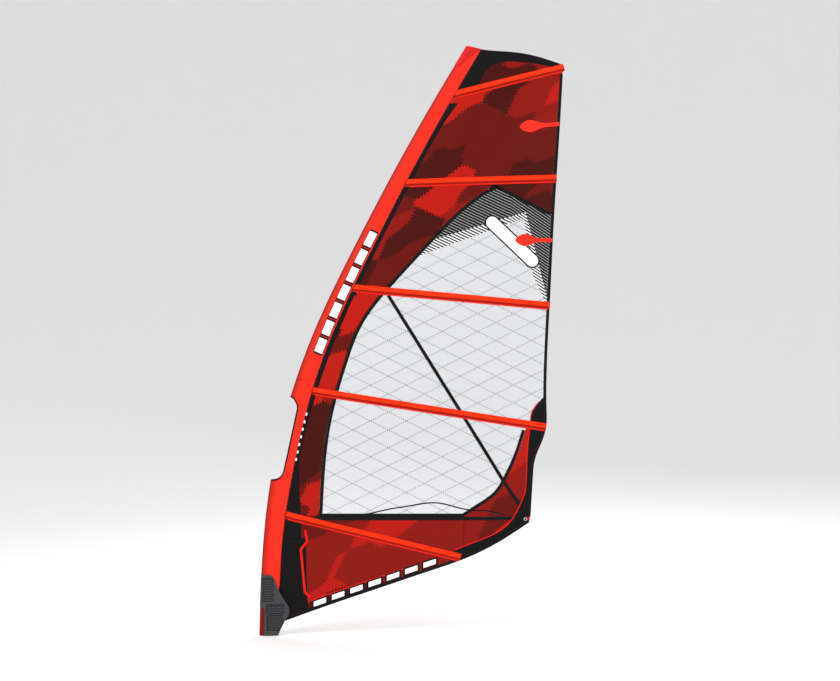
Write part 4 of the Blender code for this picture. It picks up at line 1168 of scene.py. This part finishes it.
makeFairing("fairingPort", -1, "fairing_port", "sail")
makeFairing("fairingStarboard", 1, "fairing_starboard", "fairing_flap")
makeHingeWeb("hingeWebPort", -1, "sail")
makeHingeWeb("hingeWebStarboard", 1, "fairing_flap")
print("fairing made")


finishes = {"tack_block_frame": steel, "tack_block_axle": steel, "mast_tip_cup": nylon,
            "tack_webbing": blackCloth}
for k in (1, 2, 3):
    finishes[f"tack_sheave_{k}"] = acetal
for k in (1, 2):
    finishes[f"mini_batten_{k}"] = glassFibre
for k in (1, 2, 3, 4, 5):
    finishes[f"batten_{k}"] = carbon
    finishes[f"batten_tensioner_{k}"] = nylon
    finishes[f"tension_screw_{k}"] = steel
for node, material in finishes.items():
    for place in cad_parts[node].material_slots:
        place.material = material
print("hard parts finished")


studio = {"floor": 22.0, "cove": 14.0, "wall": 16.0, "pale": (236, 236, 236), "glow": 0.11, "scale": 0.007,
          "frame": (840, 681), "middle": (1.0955, 2.0615), "away": 12.0, "sky": 0.62, "aim": (1.0, 0.0, 2.0)}
lamps = [("keyLight", (-4.5, -6.0, 7.0), 4.0, 420), ("fillLight", (6.5, -6.5, 3.0), 5.0, 170),
         ("backLight", (4.0, 7.0, 6.5), 4.0, 300), ("topLight", (1.0, 0.0, 9.0), 5.0, 160)]


# Round cove: floor, quarter circle up, then wall, turned about the sail.
def makeBackdrop():
    r0, c, top = studio["floor"], studio["cove"], studio["wall"]
    t = np.linspace(0, pi / 2, 40)
    radius = np.r_[0.01, 2, 5, r0 - c + c * np.sin(t), r0]
    height = np.r_[0, 0, 0, c - c * np.cos(t), top] - 0.0015
    turn = np.linspace(0, 2 * pi, 72, endpoint=False)
    x = studio["middle"][0] + radius[:, None] * np.cos(turn)
    y = radius[:, None] * np.sin(turn)
    points = np.stack([x, y, height[:, None] + 0 * x], -1).reshape(-1, 3)
    faces = gridFaces(len(radius), 72, closed=True)
    mesh = bpy.data.meshes.new("paleCove")
    mesh.from_pydata(points.tolist(), [], faces.tolist() + [list(range(72))[::-1]])
    mesh.polygons.foreach_set("use_smooth", np.full(len(mesh.polygons), True))
    nodes = Nodes("paleCove", 0.9, linear(*studio["pale"]))
    nodes.put("Specular IOR Level", 0.1)
    nodes.put("Emission Color", (1.0, 1.0, 1.0, 1.0))
    nodes.put("Emission Strength", studio["glow"])
    mesh.materials.append(nodes.material)
    cove = bpy.data.objects.new("paleCove", mesh)
    bpy.context.scene.collection.objects.link(cove)


def addLight(name, place, size, power):
    lamp = bpy.data.lights.new(name, "AREA")
    lamp.shape = "DISK"
    lamp.size = size
    lamp.energy = power
    item = bpy.data.objects.new(name, lamp)
    item.location = place
    way = bpy.data.objects.new(name + "Aim", None)
    way.location = studio["aim"]
    bpy.context.scene.collection.objects.link(way)
    bpy.context.scene.collection.objects.link(item)
    track = item.constraints.new("TRACK_TO")
    track.target = way
    track.track_axis = "TRACK_NEGATIVE_Z"
    track.up_axis = "UP_Y"


def makeStudio():
    makeBackdrop()
    for lamp in lamps:
        addLight(*lamp)
    world = bpy.data.worlds.new("softSky")
    world.use_nodes = True
    world.node_tree.nodes["Background"].inputs[0].default_value = (1, 1, 1, 1)
    world.node_tree.nodes["Background"].inputs[1].default_value = studio["sky"]
    bpy.context.scene.world = world
    camera = bpy.data.cameras.new("camera")
    x, z = studio["middle"]
    camera.lens = camera.sensor_width * studio["away"] / (studio["frame"][0] * studio["scale"])
    camera.clip_end = 60
    item = bpy.data.objects.new("camera", camera)
    item.location = (x, -studio["away"], z)
    item.rotation_euler = (radians(90), 0, 0)
    bpy.context.scene.collection.objects.link(item)
    bpy.context.scene.camera = item
    bpy.context.scene.view_settings.view_transform = "Standard"


makeStudio()
print("studio made")
